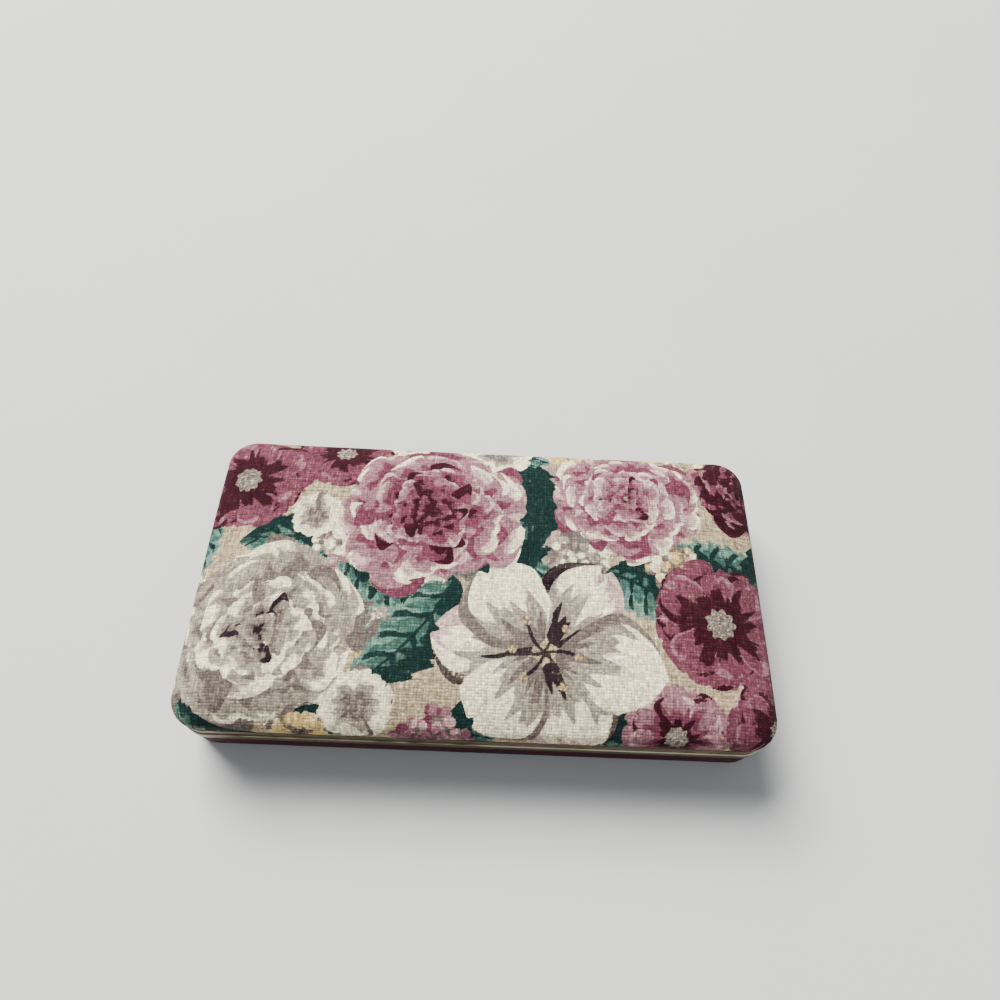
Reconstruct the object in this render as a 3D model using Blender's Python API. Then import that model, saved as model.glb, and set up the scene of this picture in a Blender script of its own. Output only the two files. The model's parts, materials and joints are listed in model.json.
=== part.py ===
"""Travel jewelry box: a flat hinged case with brass rims and a padded, cloth-covered lid.

Lengths are in metres and +Z is up. The case stands on its base with the hinge at the
back, +Y. Most pieces are drawn as outlines that run parallel to the case's plan: an
inset is the distance of such an outline from the case's outer face.
"""

import math

import bmesh
import bpy
from mathutils import Matrix

# Closed case
CASE_WIDTH = 0.184
CASE_DEPTH = 0.101
CORNER_RADIUS = 0.009
LEAST_CORNER_RADIUS = 0.001
CLEARANCE = 0.0003
RUNNING_CLEARANCE = 0.0001

# Base shell, a pressed pan
SHELL_REVEAL = 0.0125
SHELL_WALL = 0.0016
SHELL_SETBACK = 0.0004
FOOT_RADIUS = 0.0035
FOOT_CORNER_RADIUS = 0.012
FLOOR_FILLET = 0.0020

# Brass rims, of angle section
RIM_HEIGHT = 0.0036
RIM_WALL = 0.0012
RIM_LIP = 0.0008
RIM_EDGE = 0.0003
LID_SETBACK = 0.0004
LINING_REVEAL = 0.0003

# Linings, flocked inserts
BASE_LINING = 0.0010
LID_LINING = 0.0008

# Padded lid
LID_RISE = 0.0135
LID_SHELL_WALL = 0.0015
LID_SHELL_FILLET = 0.0030
COVER_THICKNESS = 0.0008
COVER_TUCK = 0.0022
PAD_THICKNESS = 0.0046
BULGE_HEIGHT = 0.0032
CROWN_POWER = 3.5
SOFT_CORNER_SHARE = 0.25
MOST_CORNER_SHARE = 0.7
PAD_SKIRT_SHARE = 0.66
CROWN_LOOP_SHARES = (0.18, 0.34, 0.47, 0.58, 0.69, 0.80, 0.91)

# Mirror
MIRROR_END_MARGIN = 0.0081
MIRROR_SIDE_MARGIN = 0.0061
MIRROR_CORNER = 0.0030
MIRROR_GLASS = 0.0013
MIRROR_CARD = 0.0008
MIRROR_FRAME_BAND = 0.0030
MIRROR_FRAME_LIP = 0.0008
MIRROR_FRAME_OVERLAP = 0.0022

# Dividers and ring rolls
DIVIDER_THICKNESS = 0.0018
DIVIDER_HEIGHT = 0.0090
CARD_EDGE = 0.0003
RING_BAY_WIDTH = 0.0600
BACK_BAY_SHARE = 0.46
SMALL_BAY_SHARE = 0.5
ROLL_COUNT = 6
ROLL_HEIGHT = 0.0092
ROLL_FLAT_SHARE = 0.10
ROLL_END_TAPER = 0.0030
ROLL_END_SHARES = ((0, 0.62), (0.25, 0.86), (1, 1))
ROLL_END_GAP_SHARE = 0.3

# Magnets in the front walls
MAGNET_LENGTH = 0.0154
MAGNET_END_DISTANCE = 0.044

# Hinges on the back of the rims
OPEN_DEGREES = 95
HINGE_END_DISTANCE = 0.040
LEAF_EAR = 0.0060
LEAF_THICKNESS = 0.0010
LEAF_EDGE = 0.0004
KNUCKLE_RADIUS = 0.0016
KNUCKLE_LENGTH = 0.0050
LID_KNUCKLE_LENGTH = 0.0074
STOP_LUG_REACH = 0.0008
PIN_RADIUS = 0.0006
RIVET_RADIUS = 0.0006
RIVET_HEAD_RADIUS = 0.0011
RIVET_HEAD = 0.0006

# Facets
CORNER_STEPS = 6
ARC_STEPS = 4
LONG_SIDE_POINTS = 5
SHORT_SIDE_POINTS = 3
ROLL_SIDES = 16
KNUCKLE_SIDES = 28
ROD_SIDES = 16
SMOOTH_DEGREES = 35
CUT_OVERRUN = 0.001

# Heights, from the base upwards
base_rim_top = SHELL_REVEAL + RIM_HEIGHT
base_shell_ledge = SHELL_REVEAL - CLEARANCE
base_shell_top = base_rim_top - RIM_LIP - CLEARANCE
base_lining_floor = SHELL_WALL + CLEARANCE + BASE_LINING
parting_height = base_rim_top + CLEARANCE / 2
lid_rim_bottom = base_rim_top + CLEARANCE
lid_rim_top = lid_rim_bottom + RIM_HEIGHT
lid_wall_bottom = lid_rim_bottom + RIM_LIP + CLEARANCE
bulge_middle = lid_rim_top + CLEARANCE + BULGE_HEIGHT
case_height = lid_rim_top + LID_RISE
pad_top = case_height - COVER_THICKNESS - CLEARANCE
lid_shell_top = pad_top - PAD_THICKNESS - CLEARANCE
lid_lining_top = lid_shell_top - LID_SHELL_WALL - CLEARANCE
mirror_top = lid_lining_top - LID_LINING - CLEARANCE

# Insets, from the outer face inwards
base_wall_inset = RIM_WALL + CLEARANCE
base_wall_inner = base_wall_inset + SHELL_WALL
base_lining_inset = base_wall_inner + CLEARANCE
base_lining_inner = base_lining_inset + BASE_LINING
cover_skirt_inset = LID_SETBACK + RIM_WALL + CLEARANCE
lid_shell_inset = cover_skirt_inset + COVER_THICKNESS + CLEARANCE
lid_shell_inner = lid_shell_inset + LID_SHELL_WALL
lid_lining_inset = lid_shell_inner + CLEARANCE
lid_lining_inner = lid_lining_inset + LID_LINING

# Hinge axis, one knuckle behind the base rim. The stop lug reaches furthest back, and the
# case is set forward by half of what stands behind it
hinge_y = CASE_DEPTH / 2 + CLEARANCE + KNUCKLE_RADIUS
stop_lug_tip = KNUCKLE_RADIUS + STOP_LUG_REACH
case_centre_y = -(hinge_y + stop_lug_tip - CASE_DEPTH / 2) / 2

# Colour, roughness and metallic value of each finish
FINISHES = {
    "brass": ((0.52, 0.37, 0.17), 0.32, 1.0),
    "burgundy_leatherette": ((0.085, 0.012, 0.018), 0.45, 0.0),
    "board": ((0.055, 0.048, 0.042), 0.60, 0.0),
    "velvet": ((0.45, 0.36, 0.27), 0.90, 0.0),
    "printed_cloth": ((0.56, 0.48, 0.40), 0.85, 0.0),
    "foam": ((0.78, 0.74, 0.62), 0.95, 0.0),
    "mirror": ((0.82, 0.84, 0.85), 0.03, 1.0),
    "card": ((0.35, 0.27, 0.19), 0.85, 0.0),
    "nickel": ((0.55, 0.54, 0.52), 0.30, 1.0),
}

for old_object in list(bpy.data.objects):
    bpy.data.objects.remove(old_object)

case = bpy.data.objects.new("case", None)
case.location = (0, case_centre_y, 0)
lid_axis = bpy.data.objects.new("lid_axis", None)
lid_axis.location = (0, hinge_y, parting_height)
lid_axis.parent = case
for empty in (case, lid_axis):
    bpy.context.scene.collection.objects.link(empty)


def make_object(name, bm, finish=None, parent=case, location=(0, 0, 0)):
    """Turns bm into an object under parent, at location in the case's frame."""
    bmesh.ops.recalc_face_normals(bm, faces=bm.faces)
    mesh = bpy.data.meshes.new(name)
    bm.to_mesh(mesh)
    bm.free()
    return place_mesh(name, mesh, finish, parent, location)


def place_mesh(name, mesh, finish, parent=case, location=(0, 0, 0)):
    """Puts a mesh that stands in the case's frame under parent, shaded and coloured."""
    obj = bpy.data.objects.new(name, mesh)
    bpy.context.scene.collection.objects.link(obj)
    mesh.shade_smooth()
    mesh.set_sharp_from_angle(angle=math.radians(SMOOTH_DEGREES))
    obj.parent = parent
    obj.location = location
    if parent is lid_axis:
        obj.location -= lid_axis.location
    if finish is None:
        obj.hide_render = True
        obj.display_type = "WIRE"
    else:
        colour, roughness, metallic = FINISHES[finish]
        material = bpy.data.materials.new(f"{name}_{finish}")
        material.use_nodes = True
        surface = material.node_tree.nodes["Principled BSDF"]
        surface.inputs["Base Color"].default_value = (*colour, 1)
        surface.inputs["Roughness"].default_value = roughness
        surface.inputs["Metallic"].default_value = metallic
        obj.data.materials.append(material)
    return obj


def rounded(half_x, half_y, radius, z, long_points=0, short_points=0):
    """Points of a round-cornered rectangle, with this many more along each side."""
    points = []
    corners = ((1, 1), (-1, 1), (-1, -1), (1, -1))
    for quarter, (sign_x, sign_y) in enumerate(corners):
        for step in range(CORNER_STEPS + 1):
            angle = math.pi / 2 * (quarter + step / CORNER_STEPS)
            x = sign_x * (half_x - radius) + radius * math.cos(angle)
            y = sign_y * (half_y - radius) + radius * math.sin(angle)
            points.append((x, y, z))
        extra = long_points if quarter in (0, 2) else short_points
        next_x, next_y = corners[(quarter + 1) % len(corners)]
        turn = math.pi / 2 * (quarter + 1)
        end_x = next_x * (half_x - radius) + radius * math.cos(turn)
        end_y = next_y * (half_y - radius) + radius * math.sin(turn)
        start_x, start_y, _ = points[-1]
        for step in range(1, extra + 1):
            share = step / (extra + 1)
            x = start_x + (end_x - start_x) * share
            y = start_y + (end_y - start_y) * share
            points.append((x, y, z))
    return points


def outline(inset, z, radius=None, **more):
    """An outline parallel to the case's plan, at this inset and height."""
    if radius is None:
        radius = max(CORNER_RADIUS - inset, LEAST_CORNER_RADIUS)
    return rounded(CASE_WIDTH / 2 - inset, CASE_DEPTH / 2 - inset, radius, z, **more)


def soft_outline(inset, z, under=None):
    """An outline of the padded lid, with points along its sides for the crown.

    Above the widest line, at inset under, its corners grow rounder away from the edge.
    """
    radius = CORNER_RADIUS - inset
    if under is not None:
        radius = CORNER_RADIUS - under + (inset - under) * SOFT_CORNER_SHARE
        radius = min(radius, (CASE_DEPTH / 2 - inset) * MOST_CORNER_SHARE)
    points = {"long_points": LONG_SIDE_POINTS, "short_points": SHORT_SIDE_POINTS}
    return outline(inset, z, max(radius, LEAST_CORNER_RADIUS), **points)


def arc(inset, z, radius, start, end):
    """Points (inset, height) round a centre; 0 degrees is inwards and 90 is up."""
    points = []
    for step in range(ARC_STEPS + 1):
        angle = math.radians(start + (end - start) * step / ARC_STEPS)
        points.append((inset + radius * math.cos(angle), z + radius * math.sin(angle)))
    return points


def bridged(loops, ring=False):
    """A closed skin through the loops; a ring's last loop joins its first."""
    bm = bmesh.new()
    rows = [[bm.verts.new(point) for point in loop] for loop in loops]
    pairs = list(zip(rows, rows[1:]))
    if ring:
        pairs.append((rows[-1], rows[0]))
    else:
        bm.faces.new(rows[0])
        bm.faces.new(rows[-1])
    for lower, upper in pairs:
        for index in range(len(lower)):
            side = (lower[index - 1], lower[index], upper[index], upper[index - 1])
            bm.faces.new(side)
    return bm


def box(size, centre, edge=None):
    """A block with its edges bevelled by edge, or left sharp."""
    bm = bmesh.new()
    bmesh.ops.create_cube(bm, size=1)
    bmesh.ops.scale(bm, vec=size, verts=bm.verts)
    if edge:
        bmesh.ops.bevel(bm, geom=bm.edges, offset=edge, segments=1, affect="EDGES")
    bmesh.ops.translate(bm, vec=centre, verts=bm.verts)
    return bm


def add_rod(bm, radius, length, centre, turn, sides=ROD_SIDES):
    """Adds a round bar to bm, turned from +Z by a quarter about the axis in turn."""
    rod = bmesh.ops.create_cone(
        bm,
        cap_ends=True,
        segments=sides,
        radius1=radius,
        radius2=radius,
        depth=length,
    )
    move = Matrix.Translation(centre) @ Matrix.Rotation(math.pi / 2, 4, turn)
    bmesh.ops.transform(bm, matrix=move, verts=rod["verts"])


def combine(obj, other, operation):
    """Adds a Boolean of obj with other, which is only a helper."""
    modifier = obj.modifiers.new(other.name, "BOOLEAN")
    modifier.object = other
    modifier.operation = operation
    modifier.solver = "EXACT"


def applied_mesh(obj, helpers):
    """The mesh of obj with its Booleans done; obj and its helpers are removed."""
    bpy.context.view_layer.update()
    graph = bpy.context.evaluated_depsgraph_get()
    mesh = bpy.data.meshes.new_from_object(obj.evaluated_get(graph))
    for used in (obj, *helpers):
        bpy.data.objects.remove(used)
    return mesh


# Base shell: a pressed pan covered in burgundy leatherette, stepped in to take its rim
def shell_foot():
    """The rounding under the shell, whose corners grow rounder towards the foot."""
    side_corner = CORNER_RADIUS - SHELL_SETBACK
    loops = []
    for step in range(ARC_STEPS + 1):
        share = step / ARC_STEPS
        angle = math.pi / 2 * (1 - share)
        inset = SHELL_SETBACK + FOOT_RADIUS * (1 - math.cos(angle))
        height = FOOT_RADIUS * (1 - math.sin(angle))
        radius = FOOT_CORNER_RADIUS + (side_corner - FOOT_CORNER_RADIUS) * share
        loops.append(outline(inset, height, radius))
    return loops


def floor_arc(radius, start, end):
    """An arc of the rounding between the base's walls and its floor."""
    centre_inset = base_wall_inner + FLOOR_FILLET
    return arc(centre_inset, SHELL_WALL + FLOOR_FILLET, radius, start, end)


base_shell_loops = shell_foot()
base_shell_loops += [
    outline(SHELL_SETBACK, base_shell_ledge - RIM_EDGE),
    outline(SHELL_SETBACK + RIM_EDGE, base_shell_ledge),
    outline(base_wall_inset, base_shell_ledge),
    outline(base_wall_inset, base_shell_top),
    outline(base_wall_inner, base_shell_top),
]
base_shell_loops += [outline(*point) for point in floor_arc(FLOOR_FILLET, 180, 270)]
base_shell = make_object("base_shell", bridged(base_shell_loops), "burgundy_leatherette")


# Brass rims: a band outside the wall and a lip over its edge
def rim_loops(face, lip_inner, lip_height, edge_height, back):
    """An angle ring from its lip, at lip_height, to the band's free edge."""
    away = 1 if edge_height > lip_height else -1
    soft = away * RIM_EDGE
    return [
        outline(lip_inner, lip_height),
        outline(face + RIM_EDGE, lip_height),
        outline(face, lip_height + soft),
        outline(face, edge_height - soft),
        outline(face + RIM_EDGE, edge_height),
        outline(back, edge_height),
        outline(back, lip_height + away * RIM_LIP),
        outline(lip_inner, lip_height + away * RIM_LIP),
    ]


base_rim_loops = rim_loops(
    face=0,
    lip_inner=base_lining_inner - LINING_REVEAL,
    lip_height=base_rim_top,
    edge_height=SHELL_REVEAL,
    back=RIM_WALL,
)
base_rim = make_object("base_rim", bridged(base_rim_loops, ring=True), "brass")

lid_rim_loops = rim_loops(
    face=LID_SETBACK,
    lip_inner=lid_lining_inner - LINING_REVEAL,
    lip_height=lid_rim_bottom,
    edge_height=lid_rim_top,
    back=LID_SETBACK + RIM_WALL,
)
lid_rim = make_object("lid_rim", bridged(lid_rim_loops, ring=True), "brass", lid_axis)

# Base lining: a flocked insert that follows the pan's walls, rounding and floor
lining_radius = FLOOR_FILLET - CLEARANCE
base_lining_loops = [outline(*point) for point in floor_arc(lining_radius, 270, 180)]
base_lining_loops += [
    outline(base_lining_inset, base_shell_top),
    outline(base_lining_inner, base_shell_top),
]
base_lining_loops += [
    outline(*point) for point in floor_arc(lining_radius - BASE_LINING, 180, 270)
]
make_object("base_lining", bridged(base_lining_loops), "velvet")

# Dividers: velvet-covered cards that stand on the lining and part the bays
bay_half_x = CASE_WIDTH / 2 - base_lining_inner - CLEARANCE
bay_half_y = CASE_DEPTH / 2 - base_lining_inner - CLEARANCE
card_bottom = base_lining_floor + CLEARANCE
card_middle = card_bottom + DIVIDER_HEIGHT / 2
ring_divider_x = bay_half_x - RING_BAY_WIDTH - DIVIDER_THICKNESS / 2
make_object(
    "ring_bay_divider",
    box(
        (DIVIDER_THICKNESS, 2 * bay_half_y, DIVIDER_HEIGHT),
        (ring_divider_x, 0, card_middle),
        CARD_EDGE,
    ),
    "velvet",
)

long_divider_y = bay_half_y * (1 - 2 * BACK_BAY_SHARE)
long_divider_end = ring_divider_x - DIVIDER_THICKNESS / 2 - CLEARANCE
make_object(
    "long_divider",
    box(
        (long_divider_end + bay_half_x, DIVIDER_THICKNESS, DIVIDER_HEIGHT),
        ((long_divider_end - bay_half_x) / 2, long_divider_y, card_middle),
        CARD_EDGE,
    ),
    "velvet",
)

short_divider_end = long_divider_y - DIVIDER_THICKNESS / 2 - CLEARANCE
short_divider_x = -bay_half_x + (long_divider_end + bay_half_x) * SMALL_BAY_SHARE
make_object(
    "short_divider",
    box(
        (DIVIDER_THICKNESS, short_divider_end + bay_half_y, DIVIDER_HEIGHT),
        (short_divider_x, (short_divider_end - bay_half_y) / 2, card_middle),
        CARD_EDGE,
    ),
    "velvet",
)


# Ring rolls: soft bolsters side by side, flat underneath, with rounded ends
def roll_loops(width, length):
    """Cross-sections of one roll from its front end to its back end."""
    flat = ROLL_HEIGHT * ROLL_FLAT_SHARE
    rise = (ROLL_HEIGHT + flat) / 2
    stations = []
    for share, size in ROLL_END_SHARES:
        stations.append((ROLL_END_TAPER * share - length / 2, size))
    stations += [(-y, size) for y, size in reversed(stations)]
    loops = []
    for y, size in stations:
        loop = []
        for side in range(ROLL_SIDES):
            angle = 2 * math.pi * (side + 0.5) / ROLL_SIDES
            height = rise + rise * math.sin(angle)
            height = max(height - flat, 0) * size
            loop.append((width / 2 * size * math.cos(angle), y, height))
        loops.append(loop)
    return loops


roll_pitch = RING_BAY_WIDTH / ROLL_COUNT
bay_corner_radius = CORNER_RADIUS - base_lining_inner
roll_length = 2 * (bay_half_y - bay_corner_radius * ROLL_END_GAP_SHARE)
first_roll_x = bay_half_x - RING_BAY_WIDTH + roll_pitch / 2
for number in range(ROLL_COUNT):
    make_object(
        f"ring_roll_{number + 1}",
        bridged(roll_loops(roll_pitch - CLEARANCE, roll_length)),
        "velvet",
        location=(first_roll_x + number * roll_pitch, 0, card_bottom),
    )

# Lid shell: a stiff pressed pan, mouth down, that carries the pad, lining and mirror
fillet_inset = lid_shell_inset + LID_SHELL_FILLET
fillet_height = lid_shell_top - LID_SHELL_FILLET
inner_fillet = LID_SHELL_FILLET - LID_SHELL_WALL
lid_shell_loops = [
    outline(*point) for point in arc(fillet_inset, fillet_height, LID_SHELL_FILLET, 90, 180)
]
lid_shell_loops += [
    outline(lid_shell_inset, lid_wall_bottom),
    outline(lid_shell_inner, lid_wall_bottom),
]
lid_shell_loops += [
    outline(*point) for point in arc(fillet_inset, fillet_height, inner_fillet, 180, 90)
]
lid_shell = make_object("lid_shell", bridged(lid_shell_loops), "board", lid_axis)

# Lid lining: a flocked insert, mouth down, under the shell
lining_fillet = inner_fillet - CLEARANCE
lid_lining_loops = [
    outline(*point) for point in arc(fillet_inset, fillet_height, lining_fillet, 90, 180)
]
lid_lining_loops += [
    outline(lid_lining_inset, lid_wall_bottom),
    outline(lid_lining_inner, lid_wall_bottom),
]
lid_lining_loops += [
    outline(*point)
    for point in arc(fillet_inset, fillet_height, lining_fillet - LID_LINING, 180, 90)
]
make_object("lid_lining", bridged(lid_lining_loops), "velvet", lid_axis)


# Padded lid: foam with a crown and drawn-in sides, and the cloth pulled over it
def crown_loops(under):
    """Loops from the widest line up over the crown, this far under the cloth's face."""
    reach = CASE_DEPTH / 2 - under
    rise = case_height - under - bulge_middle
    loops = [soft_outline(under, bulge_middle)]
    flat_share = math.sin(math.pi / 2 * CROWN_LOOP_SHARES[-1]) ** (2 / CROWN_POWER)
    for share in CROWN_LOOP_SHARES:
        angle = math.pi / 2 * share
        inwards = 1 - math.cos(angle) ** (2 / CROWN_POWER)
        upwards = math.sin(angle) ** (2 / CROWN_POWER) / flat_share
        inset = under + reach * inwards
        loops.append(soft_outline(inset, bulge_middle + rise * upwards, under))
    return loops


def tuck_loops(under, share=1):
    """Loops from the widest line down and in towards the rim, this far under the face."""
    drop = BULGE_HEIGHT - under
    loops = []
    for step in range(1, ARC_STEPS + 1):
        angle = math.pi / 2 * share * step / ARC_STEPS
        inset = under + cover_skirt_inset * (1 - math.cos(angle))
        loops.append(soft_outline(inset, bulge_middle - drop * math.sin(angle)))
    return loops


pad_under = COVER_THICKNESS + CLEARANCE
pad_loops = crown_loops(pad_under)[::-1] + tuck_loops(pad_under, PAD_SKIRT_SHARE)
pad_cavity_inset = lid_shell_inset - CLEARANCE
pad_bottom = bulge_middle - (BULGE_HEIGHT - pad_under) * math.sin(
    math.pi / 2 * PAD_SKIRT_SHARE
)
pad_loops.append(soft_outline(pad_cavity_inset, pad_bottom))
pad_fillet = LID_SHELL_FILLET + CLEARANCE
pad_loops += [
    soft_outline(*point) for point in arc(fillet_inset, fillet_height, pad_fillet, 180, 90)
]
make_object("lid_pad", bridged(pad_loops), "foam", lid_axis)

skirt_bottom = lid_rim_top - COVER_TUCK
cover_loops = crown_loops(0)[::-1] + tuck_loops(0)
cover_loops += [
    soft_outline(cover_skirt_inset, skirt_bottom),
    soft_outline(cover_skirt_inset + COVER_THICKNESS, skirt_bottom),
]
cover_loops += tuck_loops(COVER_THICKNESS)[::-1] + crown_loops(COVER_THICKNESS)
make_object("lid_cover", bridged(cover_loops), "printed_cloth", lid_axis)


# Mirror: a glass and its backing card in a thin frame under the lid's lining
frame_outer = CLEARANCE + MIRROR_FRAME_BAND
mirror_half_x = CASE_WIDTH / 2 - lid_lining_inner - MIRROR_END_MARGIN - frame_outer
mirror_half_y = CASE_DEPTH / 2 - lid_lining_inner - MIRROR_SIDE_MARGIN - frame_outer


def mirror_outline(wider, z):
    """An outline round the mirror, this much wider than the glass on every side."""
    radius = max(MIRROR_CORNER + wider, LEAST_CORNER_RADIUS)
    return rounded(mirror_half_x + wider, mirror_half_y + wider, radius, z)


card_underside = mirror_top - MIRROR_CARD
glass_top = card_underside - CLEARANCE
glass_underside = glass_top - MIRROR_GLASS
frame_lip_top = glass_underside - CLEARANCE
frame_bottom = frame_lip_top - MIRROR_FRAME_LIP
make_object(
    "mirror_backing",
    bridged([mirror_outline(0, mirror_top), mirror_outline(0, card_underside)]),
    "card",
    lid_axis,
)
make_object(
    "mirror_glass",
    bridged([mirror_outline(0, glass_top), mirror_outline(0, glass_underside)]),
    "mirror",
    lid_axis,
)
mirror_frame_loops = [
    mirror_outline(frame_outer, mirror_top),
    mirror_outline(frame_outer, frame_bottom + RIM_EDGE),
    mirror_outline(frame_outer - RIM_EDGE, frame_bottom),
    mirror_outline(-MIRROR_FRAME_OVERLAP, frame_bottom),
    mirror_outline(-MIRROR_FRAME_OVERLAP, frame_lip_top),
    mirror_outline(CLEARANCE, frame_lip_top),
    mirror_outline(CLEARANCE, mirror_top),
]
make_object("mirror_frame", bridged(mirror_frame_loops, ring=True), "brass", lid_axis)

# Magnets: a pair in notches of the base shell's front wall, and a pair of steel keepers
# straight above them in the lid shell's front wall
notch_length = MAGNET_LENGTH + 2 * CLEARANCE
magnet_bottom = base_shell_ledge + 2 * CLEARANCE
magnet_height = base_shell_top - magnet_bottom
magnet_spacing = CASE_WIDTH - 2 * MAGNET_END_DISTANCE
for side, sign in (("left", -1), ("right", 1)):
    magnet_x = sign * magnet_spacing / 2
    magnet_y = -CASE_DEPTH / 2 + (base_wall_inset + base_wall_inner) / 2
    notch = make_object(
        f"base_notch_{side}",
        box(
            (notch_length, SHELL_WALL + CUT_OVERRUN, 2 * (magnet_height + CLEARANCE)),
            (magnet_x, magnet_y, base_shell_top),
        ),
    )
    combine(base_shell, notch, "DIFFERENCE")
    make_object(
        f"magnet_{side}",
        box(
            (MAGNET_LENGTH, SHELL_WALL, magnet_height),
            (magnet_x, magnet_y, magnet_bottom + magnet_height / 2),
        ),
        "nickel",
    )
    keeper_y = -CASE_DEPTH / 2 + (lid_shell_inset + lid_shell_inner) / 2
    lid_notch = make_object(
        f"lid_notch_{side}",
        box(
            (notch_length, LID_SHELL_WALL + CUT_OVERRUN, 2 * (magnet_height + CLEARANCE)),
            (magnet_x, keeper_y, lid_wall_bottom),
        ),
        parent=lid_axis,
    )
    combine(lid_shell, lid_notch, "DIFFERENCE")
    make_object(
        f"keeper_{side}",
        box(
            (MAGNET_LENGTH, LID_SHELL_WALL, magnet_height),
            (magnet_x, keeper_y, lid_wall_bottom + magnet_height / 2),
        ),
        "nickel",
        lid_axis,
    )

# Hinges: two leaves each, riveted to the rims, with their knuckles round one pin. They
# are drawn with the pin's middle at the origin.
leaf_height = RIM_HEIGHT - 2 * RIM_EDGE
rivet_hole_radius = RIVET_RADIUS + CLEARANCE
outer_knuckle_x = (LID_KNUCKLE_LENGTH + KNUCKLE_LENGTH) / 2 + CLEARANCE
barrel_length = LID_KNUCKLE_LENGTH + 2 * KNUCKLE_LENGTH + 2 * CLEARANCE
base_rivet_z = SHELL_REVEAL + RIM_HEIGHT / 2 - parting_height
lid_rivet_z = lid_rim_bottom + RIM_HEIGHT / 2 - parting_height
leaf_length = barrel_length + 2 * LEAF_EAR
rivet_x = (barrel_length + LEAF_EAR) / 2
rivet_places = (-rivet_x, rivet_x)


def leaf_outline(rivet_z, knuckles):
    """The leaf seen from behind, as (x, z): a plate with a neck up to each knuckle."""
    outwards = math.copysign(1, rivet_z)
    near = rivet_z - outwards * leaf_height / 2
    far = rivet_z + outwards * leaf_height / 2
    points = [(-leaf_length / 2, far), (-leaf_length / 2, near)]
    for x, length in knuckles:
        neck = length / 2 - LEAF_EDGE
        points += [(x - neck, near), (x - neck, 0), (x + neck, 0), (x + neck, near)]
    return points + [(leaf_length / 2, near), (leaf_length / 2, far)]


def add_stop_lug(bm, length):
    """Adds to bm a fin on the knuckle, which points straight down when the lid is open."""
    bore_radius = PIN_RADIUS + RUNNING_CLEARANCE
    root = (bore_radius + KNUCKLE_RADIUS) / 2
    thickness = -2 * (base_leaf_y + LEAF_THICKNESS + RUNNING_CLEARANCE)
    fin = bmesh.ops.create_cube(bm, size=1)["verts"]
    bmesh.ops.scale(bm, vec=(length, stop_lug_tip - root, thickness), verts=fin)
    raise_fin = Matrix.Rotation(math.radians(OPEN_DEGREES - 90), 4, "X")
    move = raise_fin @ Matrix.Translation((0, (stop_lug_tip + root) / 2, 0))
    bmesh.ops.transform(bm, matrix=move, verts=fin)


def leaf_mesh(name, inner_y, rivet_z, own_knuckles, other_knuckles, lug_length=0):
    """A leaf whose inner face is at inner_y; knuckles are (middle, length) along X."""
    plate = bmesh.new()
    corners = [
        plate.verts.new((x, inner_y, z)) for x, z in leaf_outline(rivet_z, own_knuckles)
    ]
    grown = bmesh.ops.extrude_face_region(plate, geom=[plate.faces.new(corners)])
    raised = [item for item in grown["geom"] if isinstance(item, bmesh.types.BMVert)]
    bmesh.ops.translate(plate, vec=(0, LEAF_THICKNESS, 0), verts=raised)
    cuts = bmesh.new()
    for x, length in other_knuckles:
        clear_radius = KNUCKLE_RADIUS + CLEARANCE
        clear_length = length + CLEARANCE
        add_rod(cuts, clear_radius, clear_length, (x, 0, 0), "Y", KNUCKLE_SIDES)
    for x in rivet_places:
        hole_length = LEAF_THICKNESS + CUT_OVERRUN
        hole_centre = (x, inner_y + LEAF_THICKNESS / 2, rivet_z)
        add_rod(cuts, rivet_hole_radius, hole_length, hole_centre, "X")
    knuckles = bmesh.new()
    for x, length in own_knuckles:
        add_rod(knuckles, KNUCKLE_RADIUS, length, (x, 0, 0), "Y", KNUCKLE_SIDES)
    lug = bmesh.new()
    if lug_length:
        add_stop_lug(lug, lug_length)
    bore = bmesh.new()
    bore_length = barrel_length + CUT_OVERRUN
    add_rod(bore, PIN_RADIUS + RUNNING_CLEARANCE, bore_length, (0, 0, 0), "Y")
    leaf = make_object(name, plate)
    steps = (
        ("cuts", cuts, "DIFFERENCE"),
        ("knuckles", knuckles, "UNION"),
        ("stop_lug", lug, "UNION"),
        ("bore", bore, "DIFFERENCE"),
    )
    helpers = []
    for part, helper_bm, operation in steps:
        if helper_bm.verts:
            helpers.append(make_object(f"{name}_{part}", helper_bm))
            combine(leaf, helpers[-1], operation)
    return applied_mesh(leaf, helpers)


outer_knuckles = [(-outer_knuckle_x, KNUCKLE_LENGTH), (outer_knuckle_x, KNUCKLE_LENGTH)]
middle_knuckle = [(0, LID_KNUCKLE_LENGTH)]
base_leaf_y = CASE_DEPTH / 2 + CLEARANCE - hinge_y
lid_leaf_y = base_leaf_y - LID_SETBACK
base_leaf = leaf_mesh(
    "base_leaf", base_leaf_y, base_rivet_z, outer_knuckles, middle_knuckle
)
lid_leaf = leaf_mesh(
    "lid_leaf",
    lid_leaf_y,
    lid_rivet_z,
    middle_knuckle,
    outer_knuckles,
    lug_length=LID_KNUCKLE_LENGTH - 2 * LEAF_EDGE,
)

# Rivets: a domeless head on the leaf and a shank that ends flush inside the rim
rivet_shank = LEAF_THICKNESS + 2 * CLEARANCE + RIM_WALL


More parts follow.
